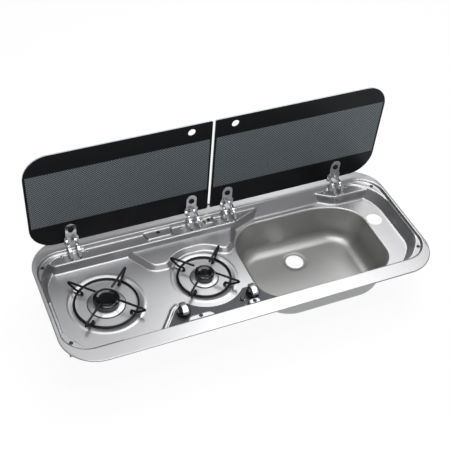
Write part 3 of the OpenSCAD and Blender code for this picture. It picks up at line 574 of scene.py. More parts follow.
@dataclass(frozen=True)
class Finish:
    """A plain surface with slight unevenness of tone, gloss and level.

    Tone and gloss are how far the colour and the roughness stray in patches of patch_mm, and the grain is a bump of
    grain_mm, drawn out along an axis where its stretch is below 1.
    """

    name: str
    colour: str
    metallic: float = 0.0
    roughness: float = 0.4
    tone: float = 0.04
    gloss: float = 0.06
    patch_mm: float = 30.0
    grain_mm: float = 1.0
    grain_depth: float = 0.02
    stretch: tuple = (1.0, 1.0, 1.0)
    coat: float = 0.0
    specular: float = 0.5
    brushed: float = 0.0

    def material(self) -> bpy.types.Material:
        """The material, made on its first use.

        Returns:
            The material of this finish's name.
        """
        found = bpy.data.materials.get(self.name)
        if found:
            return found
        made = bpy.data.materials.new(self.name)
        made.use_nodes = True
        tree = made.node_tree
        tree.nodes.clear()
        coords = add(tree, "TexCoord").outputs["Object"]
        finer, least_roughness = 0.6, 0.02
        patches = add(tree, "TexNoise", {
            "Vector": coords, "Scale": 1 / (self.patch_mm * finer * MM), "Detail": 3.0})
        uneven = add(tree, "MapRange", {
            "Value": patches.outputs[0], "To Min": max(self.roughness - self.gloss / 2, least_roughness),
            "To Max": self.roughness + self.gloss / 2})
        drawn = add(tree, "Mapping", {"Vector": coords, "Scale": self.stretch})
        grain = add(tree, "TexNoise", {
            "Vector": drawn.outputs[0], "Scale": 1 / (self.grain_mm * MM), "Detail": 2.0})
        bump = add(tree, "Bump", {
            "Height": grain.outputs[0], "Strength": 1.0, "Distance": self.grain_depth * MM})
        shader = add(tree, "BsdfPrincipled", {
            "Base Color": self.base_colour(tree, coords), "Roughness": uneven.outputs[0],
            "Normal": bump.outputs[0], "Metallic": self.metallic, "Coat Weight": self.coat, "Coat Roughness": 0.05,
            "Specular IOR Level": self.specular, "Anisotropic": self.brushed})
        if self.brushed:
            across = add(tree, "CombineXYZ", {"Y": 1.0}).outputs[0]
            tree.links.new(across, shader.inputs["Tangent"])
        add(tree, "OutputMaterial", {"Surface": shader.outputs[0]})
        made.diffuse_color = linear(self.colour)
        return made

    def base_colour(self, tree: bpy.types.NodeTree, coords: Socket) -> Socket:
        """The colour, a little lighter and darker in patches.

        Args:
            tree: the material's node tree.
            coords: the object's coordinates.

        Returns:
            The colour's socket.
        """
        base = np.array(linear(self.colour)[:3])
        dark, light = base * (1 - self.tone), np.minimum(base * (1 + self.tone), 1)
        patches = add(tree, "TexNoise", {"Vector": coords, "Scale": 1 / (self.patch_mm * MM), "Detail": 3.0})
        return add(tree, "Mix", {0: patches.outputs[0], 6: (*dark.tolist(), 1.0), 7: (*light.tolist(), 1.0)},
                   data_type="RGBA").outputs[2]


@dataclass(frozen=True)
class PrintedGlass(Finish):
    """Black glass with a screen print of grey dots between two plain bands and clear of the lids' split."""

    dot_colour: str = "#7b8589"
    dot_pitch_mm: float = 4.4
    dot_bias: float = 0.9
    dot_blend: float = 0.4
    band_low_mm: float = 79.0
    band_high_mm: float = 226.0
    end_mm: float = 431.0
    split_mm: float = -6.0
    border_mm: float = 8.0

    def base_colour(self, tree: bpy.types.NodeTree, coords: Socket) -> Socket:
        """Dots in rows turned by 45 degrees: the blended least of cos k(x + z) and cos k(x - z), inside the field.

        Args:
            tree: the material's node tree.
            coords: the object's coordinates.

        Returns:
            The colour's socket.
        """
        k = 2 * np.pi / (self.dot_pitch_mm * MM * np.sqrt(2))
        place = add(tree, "SeparateXYZ", {0: coords}).outputs
        found = {"x": place[0], "z": place[2]}
        sums = [("u", "ADD", "x", "z"), ("u", "MULTIPLY", "u", k), ("u", "COSINE", "u"),
                ("u", "ADD", "u", self.dot_bias), ("v", "SUBTRACT", "x", "z"), ("v", "MULTIPLY", "v", k),
                ("v", "COSINE", "v"), ("v", "ADD", "v", self.dot_bias),
                ("dot", "SMOOTH_MIN", "u", "v", self.dot_blend),
                ("above", "GREATER_THAN", "z", self.band_low_mm * MM),
                ("below", "LESS_THAN", "z", self.band_high_mm * MM),
                ("from_middle", "ABSOLUTE", "x"), ("inside", "LESS_THAN", "from_middle", self.end_mm * MM),
                ("past_split", "SUBTRACT", "x", self.split_mm * MM), ("past_split", "ABSOLUTE", "past_split"),
                ("clear", "GREATER_THAN", "past_split", self.border_mm * MM),
                ("field", "MULTIPLY", "above", "below"), ("field", "MULTIPLY", "field", "inside"),
                ("field", "MULTIPLY", "field", "clear")]
        for name, kind, *terms in sums:
            links = {number: found.get(term, term) for number, term in enumerate(terms)}
            found[name] = add(tree, "Math", links, operation=kind).outputs[0]
        ink = add(tree, "MapRange", {
            "Value": found["dot"], "From Min": 0.0, "From Max": 0.5, "To Max": found["field"]})
        return add(tree, "Mix", {0: ink.outputs[0], 6: linear(self.colour), 7: linear(self.dot_colour)},
                   data_type="RGBA").outputs[2]


# The grains of 0.35 to 3 mm below are coarser than the real ones, which are a tenth of that or less and don't show

# Stainless sheet, pressed and left satin: broad soft reflections with a faint grain along the tray
STEEL = Finish("satin_stainless_sheet", "#adadaf", 1.0, 0.33, 0.012, 0.03, 90.0, 1.2, 0.0015, (0.06, 1.0, 1.0),
               brushed=0.72)
# Stainless sheet drawn deep: duller than the tray, with a faint grain that runs level round the walls
BOWL_STEEL = Finish("drawn_stainless_sheet", "#afafae", 1.0, 0.42, 0.015, 0.03, 60.0, 1.2, 0.0015, (0.1, 0.1, 1.0))
# The bowl's outside as it left the press: a little darker, duller and more uneven than the inside
RAW_STEEL = Finish("raw_pressed_stainless", "#a6a7a7", 1.0, 0.45, 0.03, 0.05, 60.0, 1.2, 0.003, (0.1, 0.1, 1.0))
# Chromium plate over bent steel: sharp bright reflections
CHROME = Finish("chromium_plate", "#cfd1d4", 1.0, 0.08, 0.02, 0.04, 8.0, 0.8, 0.001)
# Plain zinc plate on hidden steel parts: dull and slightly blotched
ZINC = Finish("zinc_plate", "#a9adb0", 1.0, 0.42, 0.08, 0.12, 6.0, 0.6, 0.02)
# Spun aluminium of the burners' trims: pale and satin
SPUN = Finish("spun_aluminium", "#b9babc", 1.0, 0.38, 0.03, 0.05, 10.0, 0.5, 0.01)
# Die-cast aluminium: grey and finely pitted
CAST = Finish("cast_aluminium", "#8f9092", 1.0, 0.48, 0.08, 0.1, 8.0, 0.7, 0.05)
# Aluminium pipe drawn through a die: pale, with faint lines along it
PIPE = Finish("drawn_aluminium_tube", "#c4c5c6", 1.0, 0.35, 0.03, 0.06, 20.0, 0.6, 0.01, (0.1, 1.0, 1.0))
# Machined brass of the taps: yellow and fairly bright
BRASS = Finish("machined_brass", "#c8a456", 1.0, 0.28, 0.05, 0.08, 8.0, 0.5, 0.01)
# Copper tube of the flame sensors: reddish and slightly dulled
COPPER = Finish("copper_tube", "#b8754f", 1.0, 0.32, 0.06, 0.08, 8.0, 0.5, 0.01)
# Toughened glass, printed black behind: a dim even sheen with the slow waves of float glass. Its grey dots are drawn
# at 4.4 mm, which is coarser than the real print, because a finer pitch doesn't show in the render
GLASS = PrintedGlass("printed_black_glass", "#090b11", 0.0, 0.3, 0.0, 0.02, 80.0, 40.0, 0.002, specular=0.15)
# Ground edge of the glass: pale and half matt
GLASS_EDGE = Finish("ground_glass_edge", "#b9c4c2", 0.0, 0.3, 0.05, 0.05, 20.0, 0.4, 0.01)
# Vitreous enamel, fired black on the burner caps: glassy, with slight waves
ENAMEL = Finish("fired_black_enamel", "#08080a", 0.0, 0.12, 0.1, 0.06, 12.0, 3.0, 0.02, coat=0.3)
# Enamelled wire of the pan supports: satin black
WIRE_ENAMEL = Finish("satin_black_enamel", "#060607", 0.0, 0.3, 0.1, 0.1, 8.0, 1.0, 0.01, specular=0.3)
# Black gloss ABS, moulded: small clear highlights on the taps' knobs
KNOB_ABS = Finish("moulded_black_abs", "#0b0b0d", 0.0, 0.16, 0.05, 0.06, 10.0, 0.5, 0.006)
# Silver-plated ABS of the grips: pale satin metal
GRIP_ABS = Finish("silver_plated_abs", "#cfd0d2", 1.0, 0.36, 0.02, 0.05, 8.0, 0.5, 0.006)
# Dark red acrylic of the igniter's button: nearly black with a soft highlight
BUTTON_RED = Finish("dark_red_acrylic", "#14090a", 0.0, 0.22, 0.05, 0.05, 6.0, 0.5, 0.005)
# Charcoal lacquer, baked on the control plate: dark grey and half matt
LACQUER = Finish("baked_charcoal_lacquer", "#2e3136", 0.0, 0.38, 0.05, 0.06, 25.0, 0.35, 0.01)
# Black nitrile rubber of caps and feet: matt. The same black also paints the shadow round the foot of each burner's
# trim
RUBBER_AND_PAINTED_SHADOW = Finish("black_rubber_and_painted_shadow", "#131313", 0.0, 0.55, 0.1, 0.08, 4.0, 0.4, 0.02)
# Closed-cell foam strip under the rim: dead matt and pored
FOAM = Finish("closed_cell_foam", "#26272a", 0.0, 0.85, 0.15, 0.1, 3.0, 0.5, 0.15)
# Glazed alumina of the electrodes: white and glossy
CERAMIC = Finish("glazed_alumina", "#e9e4da", 0.0, 0.22, 0.03, 0.05, 6.0, 0.6, 0.01)
# Nylon bushes in the glass: milky and half matt
NYLON = Finish("natural_nylon", "#dedcd4", 0.0, 0.45, 0.03, 0.05, 6.0, 0.6, 0.01)
# Black oxide on the lids' screws: dark metal with a soft sheen
BLACK_OXIDE = Finish("black_oxide", "#17181a", 0.6, 0.34, 0.1, 0.08, 3.0, 0.4, 0.01)


# ---------------------------------------------------------------- tray and bowl


@dataclass
class Land:
    """A raised land of the tray: the corners of its plan, its level, and the form of the side that falls from it.

    Foot and edge are radii and run is the side's slope. Blend is how softly the side meets the recess's wall in plan,
    with 0 for not at all, and reach is how far round the plan the side is worked out.
    """

    corners: list
    level: float
    foot: float = 7.0
    edge: float = 4.5
    run: float = 0.5
    blend: float = 0.0
    reach: float = 20.0


@dataclass
class Tray:
    """The pressed tray: flat rim, recess, ledges, wavy shelf, deck, dishes and pads."""

    width: float = 900.0
    depth: float = 370.0
    rim_r: float = 86.0
    rim_edge: float = 2.2
    sheet: float = 1.0
    # levels
    top: float = 3.0
    pad: float = -3.0
    ledge: float = -6.5
    shelf: float = -19.0
    deck: float = -30.0
    dish: float = -33.0
    # the recess: its box, its corners' radius, and its wall's width, foot radius, edge radius and run
    recess: tuple = (-441.5, -145.3, 441.5, 144.5)
    recess_r: float = 61.0
    wall_w: float = 20.0
    wall_form: tuple = (8.0, 2.5, 12.0)
    # the left wall is steeper: by what share, from where and over what width
    steeper: tuple = (0.5, -380.0, 40.0)
    fall_x: float = 0.06
    fall_y: float = 0.035
    # hinges and the slots for their arms
    split: float = -6.0
    hinge_near: float = 46.0
    hinge_far: float = 338.5
    arm_pitch: float = 20.4
    slot_y: float = 118.3
    slot_half: float = 4.0
    # each burner: x, y, dish radius and hole radius, and the dishes' slope and the bead round them
    burners: tuple = ((-316.0, -10.0, 84.0, 27.0), (-82.0, -10.0, 74.0, 20.0))
    dish_run: float = 20.0
    dish_bead: float = 0.9
    # round holes: x, y and radius
    tap: tuple = (391.0, 28.0, 20.0)
    stems: tuple = ((-166.0, -96.0, 4.5), (1.0, -96.0, 4.5), (-27.0, -103.0, 3.6))
    mouth_edge: float = 5.5
    plate_bead: float = 2.2
    # how softly lands meet walls in height, and how far above the deck that starts to shrink
    blend: float = 5.0
    blend_from: float = 6.0
    # corner pads: side, end, run along the rim, reach along the end, edge radius, slope's run and blend
    corner_pads: tuple = ((-1, -1, 56, 96, 1.2, 4.0, 1.0), (-1, 1, 56, 77, 3.0, 9.0, 20.0),
                          (1, -1, 73, 75, 3.0, 9.0, 15.0), (1, 1, 64, 88, 3.0, 9.0, 24.0))

    @property
    def plan(self) -> tuple:
        """The rim's outer box."""
        return -self.width / 2, -self.depth / 2, self.width / 2, self.depth / 2

    def hinges(self) -> list:
        """Places of the four hinges along x."""
        return [self.split + s for s in (-self.hinge_far, -self.hinge_near, self.hinge_near, self.hinge_far)]

    def slots(self) -> list:
        """Middles of the arms' slots along x."""
        return [x + s * self.arm_pitch / 2 for x in self.hinges() for s in SIDES]

    def mouth_plan(self) -> list:
        """Corners of the bowl's mouth at the deck."""
        return [[23.3, -126, 60], [365.3, -126, 60], [365.3, 64, 60], [312, 101, 120], [255, 113, 160],
                [23.3, 113, 84]]

    def floor_plan(self) -> list:
        """Corners of the bowl at its floor."""
        return [[40, -124, 90], [362, -124, 82], [362, 54.6, 62], [345.4, 83.4, 62], [316.6, 100, 62], [40, 105, 70]]

    def lands(self) -> list[Land]:
        """The ledges, the shelf and the pads, whose outer corners lie past the recess by far.

        Returns:
            The lands.
        """
        _, front, _, back = self.recess
        far = 40
        near, outer = self.split + self.hinge_near, self.split + self.hinge_far
        ledge_y = back - 34.5
        lands = [
            Land([[-400.5, ledge_y, 12], [near + 6, ledge_y, 30], [near + 64, ledge_y + 21, 40],
                  [near + 110, back + 15.5, 14], [near + 110, back + far, 5], [-421, back + far, 5],
                  [-421, back + 8, 10]], self.ledge),
            Land([[outer - 16.5, ledge_y, 55], [outer + 92.5, ledge_y - 2, 5], [outer + 92.5, back + far, 5],
                  [outer - 125.5, back + far, 5]], self.ledge),
            Land([[-232, back - 14, 10], [-183, 50, 24], [-148, 48, 18], [-118, 77, 70], [-46, 79, 70],
                  [-1.7, 46, 12], [16.3, 62, 20], [47.3, back - 20, 10]], self.shelf, 3.2, 2.6, 5.2),
            Land([[-172, back - 26.5, 7], [-112, back - 26.5, 7], [-96, back + far, 5], [-188, back + far, 5]],
                 self.pad),
            Land([[-25, back - 20.5, 5], [-3, back - 20.5, 5], [4, back + far, 5], [-32, back + far, 5]], self.pad),
            Land([[-188, front - far, 5], [-96, front - far, 5], [-112, front + 18.3, 18], [-172, front + 18.3, 18]],
                 self.pad),
            Land([[-35, front - far, 5], [7, front - far, 5], [0, front + 18.3, 8], [-28, front + 18.3, 8]],
                 self.pad)]
        x, y = self.width / 2 - 7, self.depth / 2 - 38
        for sx, sy, run, reach, edge, slope, blend in self.corner_pads:
            ends = [[sx * (x - run), sy * (y + 12), 5], [sx * (x + far), sy * (y + far), 5],
                    [sx * (x + 6), sy * (y - reach), 5]]
            lands.append(Land(ends[::-1] if sx * sy > 0 else ends, self.pad, 5.0, edge, slope, blend, 70.0))
        return lands

    def bead(self) -> list:
        """Corners of the low bead beside the control plate's left end."""
        return [[-234, -138.3, 1], [-230.5, -138.3, 1], [-196, -94.6, 20], [-185, -79.5, 6], [-173, -71.6, 1],
                [-174.4, -69.4, 1], [-187, -77.6, 8], [-198.2, -93.2, 20]]

    def height(self, x: Array, y: Array) -> Array:
        """Height of the sheet's upper side: the recess's wall section joined with each land's, less the dishes.

        Lands meet walls by a smooth maximum whose k shrinks to nothing at the deck.

        Args:
            x: places along x.
            y: places along y, of the same shape.

        Returns:
            The heights, of the shape of x.
        """
        share, start, width = self.steeper
        inside = box_depth(x, y, self.recess, self.recess_r)
        wall = self.wall_w - inside * (1 + share * smooth_step((start - x) / width))
        z = pressed_section(wall, self.deck, self.top, *self.wall_form)
        for land in self.lands():
            ring = outline(land.corners, steps=10)
            near = around(x, y, ring, land.reach)
            if not near.any():
                continue
            along = land.foot + land.run + depth_in(x[near], y[near], ring)
            if land.blend:
                along = smooth_max(along, wall[near], land.blend)
            a, b = z[near], pressed_section(along, self.deck, land.level, land.foot, land.edge, land.run)
            k = self.blend * np.clip((np.minimum(a, b) - self.deck) / self.blend_from, 0, 1) + 1e-6
            z[near] = smooth_max(a, b, k)
        ring = outline(self.bead(), steps=8)
        near = around(x, y, ring, 10.0)
        if near.any():
            rise = self.plate_bead * smooth_step((depth_in(x[near], y[near], ring) + 4.5) / 5.0)
            z[near] = np.maximum(z[near], self.deck + rise)
        for bx, by, r, _ in self.burners:
            away = r - np.hypot(x - bx, y - by)
            bead = self.dish_bead * (smooth_step((away + 5) / 4.5) - smooth_step((away + 0.5) / 10))
            drop = (self.deck - self.dish) * smooth_step(away / self.dish_run)
            z = z + (bead - drop) * (z < self.deck + 2)
        return z - self.fall(x, y)

    def fall(self, x: Array, y: Array) -> Array:
        """How far the rim drops outwards: in step with the distance past the recess's ends and back."""
        return self.fall_x * np.maximum(abs(x) - self.recess[2], 0) + self.fall_y * np.maximum(y - self.recess[3], 0)

    def domain(self, x: Array, y: Array) -> Array:
        """Distance into the sheet's flat plan: inside the rim, outside the mouth, the round holes and the slots.

        Args:
            x: places along x.
            y: places along y, of the same shape.

        Returns:
            The distances, of the shape of x.
        """
        g = box_depth(x, y, self.plan, self.rim_r) - self.rim_edge
        ring = outline(self.mouth_plan(), -self.mouth_edge, 20)
        near = around(x, y, ring, 30.0)
        g[near] = np.minimum(g[near], -depth_in(x[near], y[near], ring))
        for hx, hy, r in [self.tap, *self.stems] + [(bx, by, hole) for bx, by, _, hole in self.burners]:
            g = np.minimum(g, np.hypot(x - hx, y - hy) - r)
        for sx in self.slots():
            g = np.minimum(g, np.maximum(abs(x - sx), abs(y - self.slot_y)) - self.slot_half)
        return g

    def edge_strip(self) -> Shape:
        """The rim's turned-down edge: a quarter arc from the flat to a short upright lip and back under the sheet.

        Returns:
            The strip.
        """
        lip, under = 0.5, self.top - self.sheet
        arc = [(self.rim_edge * (1 - np.sin(t)), self.top - self.rim_edge * (1 - np.cos(t)))
               for t in np.linspace(0, np.pi / 2, 7)]
        rows = [(self.rim_edge + 0.5, self.top - 0.01), *arc, (0.0, lip), (0.5, 0.4), (1.0, lip), (1.0, under - 0.8),
                (3.2, under)]
        corners = box_corners(*self.plan, self.rim_r)
        flats = [(outline(corners, inset, 28), z) for inset, z in rows]
        return level_loft([(flat, z - self.fall(*flat.T) * np.clip((z - lip) / (self.top - lip), 0, 1))
                           for flat, z in flats[::-1]])

    def build(self) -> None:
        """Makes the tray's upper skin with its edge, and the underside of the sheet."""
        x0, y0, x1, y1 = self.plan
        half, margin, underside = self.slot_half, 0.6, 2.6
        # the lines stand closer where walls and folds rise
        xs = grid_lines([x0, -447, -385, 30, 350, 392, 447, x1], [1.5, 1.15, 1.75, 2.2, 1.6, 1.15, 1.5],
                        [x + e for x in self.slots() for e in (-half, half)])
        ys = grid_lines([y0, -149, -118, 70, 150, y1], [2.6, 1.15, 1.9, 1.25, 2.6],
                        [self.slot_y - half, self.slot_y + half])
        skin = grid_patch(xs, ys, self.domain, self.height)
        hole = level_loft([(circle(*self.tap), z) for z in (self.deck, self.deck - self.sheet)])
        build("tray_skin", joined(skin, self.edge_strip(), hole), STEEL, Body.UNIT, "tray", "stainless_tray")
        coarse = grid_patch(grid_lines([x0, x1], [underside]), grid_lines([y0, y1], [underside]),
                            lambda x, y: self.domain(x, y) - margin, lambda x, y: self.height(x, y) - self.sheet,
                            upwards=False)
        build("tray_underside", coarse, STEEL, Body.UNIT, "tray", "stainless_tray")


@dataclass
class Bowl:
    """The drawn bowl, from the rolled mouth to the floor with its drain hole."""

    tray: Tray
    floor: float = -130.0
    foot_r: float = 28.0
    # the drain: x, y and radius, and the seat pressed down round it
    drain: tuple = (191.0, 44.0, 22.5)
    dip: float = 1.2
    seat_w: float = 5.0
    seat_run: float = 4.0
    corner_steps: int = 26

    def ring(self, z: float, inset: float) -> Array:
        """The bowl's outline at a height: the mouth's plan mixed with the floor's in step with the depth.

        Args:
            z: the height.
            inset: how far the outline is moved inwards.

        Returns:
            The points, in plan.
        """
        t = (self.tray.deck - z) / (self.tray.deck - self.floor)
        mixed = np.array(self.tray.mouth_plan()) * (1 - t) + np.array(self.tray.floor_plan()) * t
        return outline(mixed.tolist(), inset, self.corner_steps)

    def walls(self, skin: float) -> list:
        """Rings from the mouth's rolled edge down the walls and round the foot.

        Args:
            skin: how far outside the bowl's inner side they lie.

        Returns:
            Rows of a ring's points and its height.
        """
        deck, edge = self.tray.deck, self.tray.mouth_edge
        lip = [(deck - 0.02 - skin, -edge - 0.6 - skin)] + [
            (deck - skin - (edge - skin) * (1 - np.cos(a)), -(edge - skin) * (1 - np.sin(a)) - skin)
            for a in np.linspace(0, np.pi / 2, 7)]
        foot = self.foot_r + skin
        low = self.floor + self.dip - skin
        straight = [(z, -skin) for z in np.linspace(deck - edge - 2, low + foot + 0.5, 10)]
        bend = [(low + foot * (1 - np.cos(a)), foot * (1 - np.sin(a)) - skin) for a in np.linspace(np.pi / 2, 0, 14)]
        rows = lip + straight + bend + [(low - 0.03, foot - skin + 0.8)]
        return [(self.ring(z, inset), z) for z, inset in rows]

    def floor_height(self, x: Array, y: Array) -> Array:
        """The floor, lower by the dip in a ring round the drain."""
        away = np.hypot(x - self.drain[0], y - self.drain[1]) - self.drain[2]
        return self.floor + self.dip * smooth_step((away - self.seat_w) / self.seat_run)

    def build(self) -> None:
        """Makes the bowl's inside and its outside."""
        edge = self.ring(self.floor, self.foot_r)
        dx, dy, r = self.drain
        sheet = self.tray.sheet

        def domain(x: Array, y: Array) -> Array:
            """Distance into the flat floor, outside the drain."""
            return np.minimum(depth_in(x, y, edge), np.hypot(x - dx, y - dy) - r)

        xs, ys = grid_lines([40, 350], [2.5]), grid_lines([-110, 85], [2.5])
        rim = level_loft([(circle(dx, dy, r), z) for z in (self.floor, self.floor - sheet)])
        inside = joined(level_loft(self.walls(0.0)[::-1]), grid_patch(xs, ys, domain, self.floor_height), rim)
        build("bowl_inside", inside, BOWL_STEEL, Body.UNIT, "sink_bowl", "stainless_bowl")
        below = grid_patch(xs, ys, domain, lambda x, y: self.floor_height(x, y) - sheet, upwards=False)
        build("bowl_outside", joined(level_loft(self.walls(sheet)), below), RAW_STEEL, Body.UNIT,
              "sink_bowl", "stainless_bowl")


# ---------------------------------------------------------------- lids and hinges


@dataclass
class Lid:
    """One half of the glass lid with its bushes, screws and caps, standing open."""

    side: Side
    tray: Tray
    inner_r: float = 4.0
    outer_r: float = 58.0
    thick: float = 4.0
    half_gap: float = 3.0
    end: float = 436.5
    front: float = -141.3
    rear: float = 116.7
    pivot_y: float = 144.8
    pivot_z: float = -11.8
    screw_y: float = 80.0
    # the finger hole: distance from the split, y and radius
    finger: tuple = (52.0, -121.3, 9.0)

    @property
    def body(self) -> Body:
        """The body that it swings with."""
        return Body(self.side.name_of("lid"))

    @property
    def low(self) -> float:
        """Height of the glass's inner face when it is closed."""
        return self.tray.top - self.thick

    def opened(self, shape: Shape) -> Shape:
        """A shape drawn closed, turned up a quarter about the pivot."""
        return shape.turned("X", -90, (0.0, self.pivot_y, self.pivot_z))

    def hinge_places(self) -> list:
        """The lid's two hinges along x."""
        return self.tray.hinges()[:2] if self.side is Side.LEFT else self.tray.hinges()[2:]

    def build(self) -> None:
        """Makes the pane with a ground rim, and what holds it."""
        s, low, top = self.side.value, self.low, self.tray.top
        bevel, proud, rim_inset = 0.7, 0.02, 0.9
        x0, x1 = sorted((self.tray.split + s * self.half_gap, s * self.end))
        r0, r1 = (self.outer_r, self.inner_r) if s < 0 else (self.inner_r, self.outer_r)
        corners = [[x0, self.front, r0], [x1, self.front, r1], [x1, self.rear, r1], [x0, self.rear, r0]]
        finger_x, finger_y, finger_r = self.finger
        hole = circle(self.tray.split + s * finger_x, finger_y, finger_r, 48)
        pane = plate(outline(corners, steps=24), [hole], low, top, bevel)
        build("lid_pane", self.opened(pane), GLASS, self.body, "lid_glass", "black_glass", self.side, 25.0)
        rim = outline(corners, -proud, 24)
        band = level_loft([(rim, z) for z in (low + rim_inset, top - rim_inset)])
        build("lid_edge", self.opened(band), GLASS_EDGE, self.body, "lid_glass", "black_glass", self.side)
        # black screws with a socket inside, and domed caps outside
        head = rounded([[0, -4.6], [5.6, -4.6], [7.0, -3.2], [7.0, -2.0], [0, -2.0]], 0.8)
        socket = [[3.2, -4.75], [2.6, -4.7], [2.2, -4.1], [0, -4.1]]
        heads = [revolved(head, x, self.screw_y, low, 40) for x in self.hinge_places()]
        heads += [revolved(socket, x, self.screw_y, low, 24) for x in self.hinge_places()]
        build("lid_screw_heads", self.opened(joined(*heads)), BLACK_OXIDE, self.body, "lid_screws", "screw_black",
              self.side)
        cap = rounded([[9.0, 0], [9.0, 1.2], [7.2, 2.9], [0, 3.0]], 1.2)
        caps = [revolved(cap, x, self.screw_y, top, 48) for x in self.hinge_places()]
        build("lid_domes", self.opened(joined(*caps)), CHROME, self.body, "lid_caps", "cap_bright", self.side)


@dataclass
class Hinge:
    """A goose-neck hinge: a tongue and crosspiece on the glass, and two curved arms about a pin."""

    number: int
    x: float
    lid: Lid
    # arms: radius of the curve about the pin, width across it, thickness along the pin, and edges' radius
    arm_r: float = 27.0
    arm_w: float = 5.0
    arm_t: float = 7.2
    arm_edge: float = 1.3
    hub_r: float = 3.8
    bore_r: float = 2.25
    # the leaf on the glass: widths, thickness, and radii of the notch and the screw's hole
    tongue_w: float = 26.0
    cross_w: float = 34.0
    leaf_t: float = 2.0
    mouth_r: float = 8.0
    hole_r: float = 2.6

    def arm(self, x: float) -> Shape:
        """One arm: a flat bar with rounded edges, carried from the pin down and round the pivot to the glass.

        Its middle line runs straight from the hub to the arc of radius arm_r, and then along that arc.

        Args:
            x: the arm's middle along x.

        Returns:
            The arm, as it lies when closed.
        """
        lid, r = self.lid, self.arm_r
        end = np.arcsin((lid.low - lid.pivot_z) / (r - 1))
        turn = np.linspace(-np.pi / 2, -np.pi - end, 40)
        arc = np.column_stack([r * np.cos(turn), r * np.sin(turn)])
        link = np.column_stack([np.zeros(6), np.linspace(-self.bore_r - 0.35, -r + 4.0, 6)])
        mid = np.vstack([link, [[-0.6, -r + 1.2]], arc[2:]])
        side = turned_left(unit_rows(np.gradient(mid, axis=0)))
        w, t = self.arm_w / 2, self.arm_t / 2
        section = outline(box_corners(-w, -t, w, t, self.arm_edge), steps=4)
        across, thick = section[:, 0], section[:, 1]
        rings = np.stack([np.broadcast_to(x + thick, (len(mid), len(section))),
                          lid.pivot_y + mid[:, :1] + side[:, :1] * across,
                          lid.pivot_z + mid[:, 1:] + side[:, 1:] * across], -1)
        return ring_loft(rings, capped=True)

    def leaf(self) -> Shape:
        """The leaf: a round-ended tongue under the screw, and a crosspiece with a notch between the arms.

        Returns:
            The leaf, as it lies when closed.
        """
        lid, x = self.lid, self.x
        back, front = lid.pivot_y - 22, lid.screw_y - 18
        shoulder, root = back - 19, back - 26
        t, c = self.tongue_w / 2, self.cross_w / 2
        turn = np.linspace(0, -np.pi, 24)
        notch = np.column_stack([x + self.mouth_r * np.cos(turn), back + self.mouth_r * np.sin(turn)])
        tip = circle(x, front + t, t, 64)
        tip = tip[tip[:, 1] <= front + t + 1e-6]
        tip = tip[np.argsort(tip[:, 0])]
        edge = np.vstack([tip, [[x + t, root], [x + c, shoulder], [x + c, back]], notch,
                          [[x - c, back], [x - c, shoulder], [x - t, root]]])
        return plate(edge, [circle(x, lid.screw_y, self.hole_r, 24)], lid.low - self.leaf_t, lid.low, 0.4)

    def build(self) -> None:
        """Makes the whole arm piece in its open place."""
        lid, t = self.lid, self.arm_t
        middles = [self.x + s * lid.tray.arm_pitch / 2 for s in SIDES]
        tyre = rounded([[self.bore_r, 0], [self.hub_r, 0], [self.hub_r, t], [self.bore_r, t]], 0.3)
        hub = revolved(tyre, steps=32).turned("Y", 90)
        hubs = [hub.moved(x - t / 2, lid.pivot_y, lid.pivot_z) for x in middles]
        shape = joined(self.leaf(), *map(self.arm, middles), *hubs)
        build(f"goose_neck_{self.number}", lid.opened(shape), CHROME, lid.body, f"hinge_arm_{self.number}",
              "hinge_chrome", smooth_angle=35.0)


# ---------------------------------------------------------------- burners and pan supports


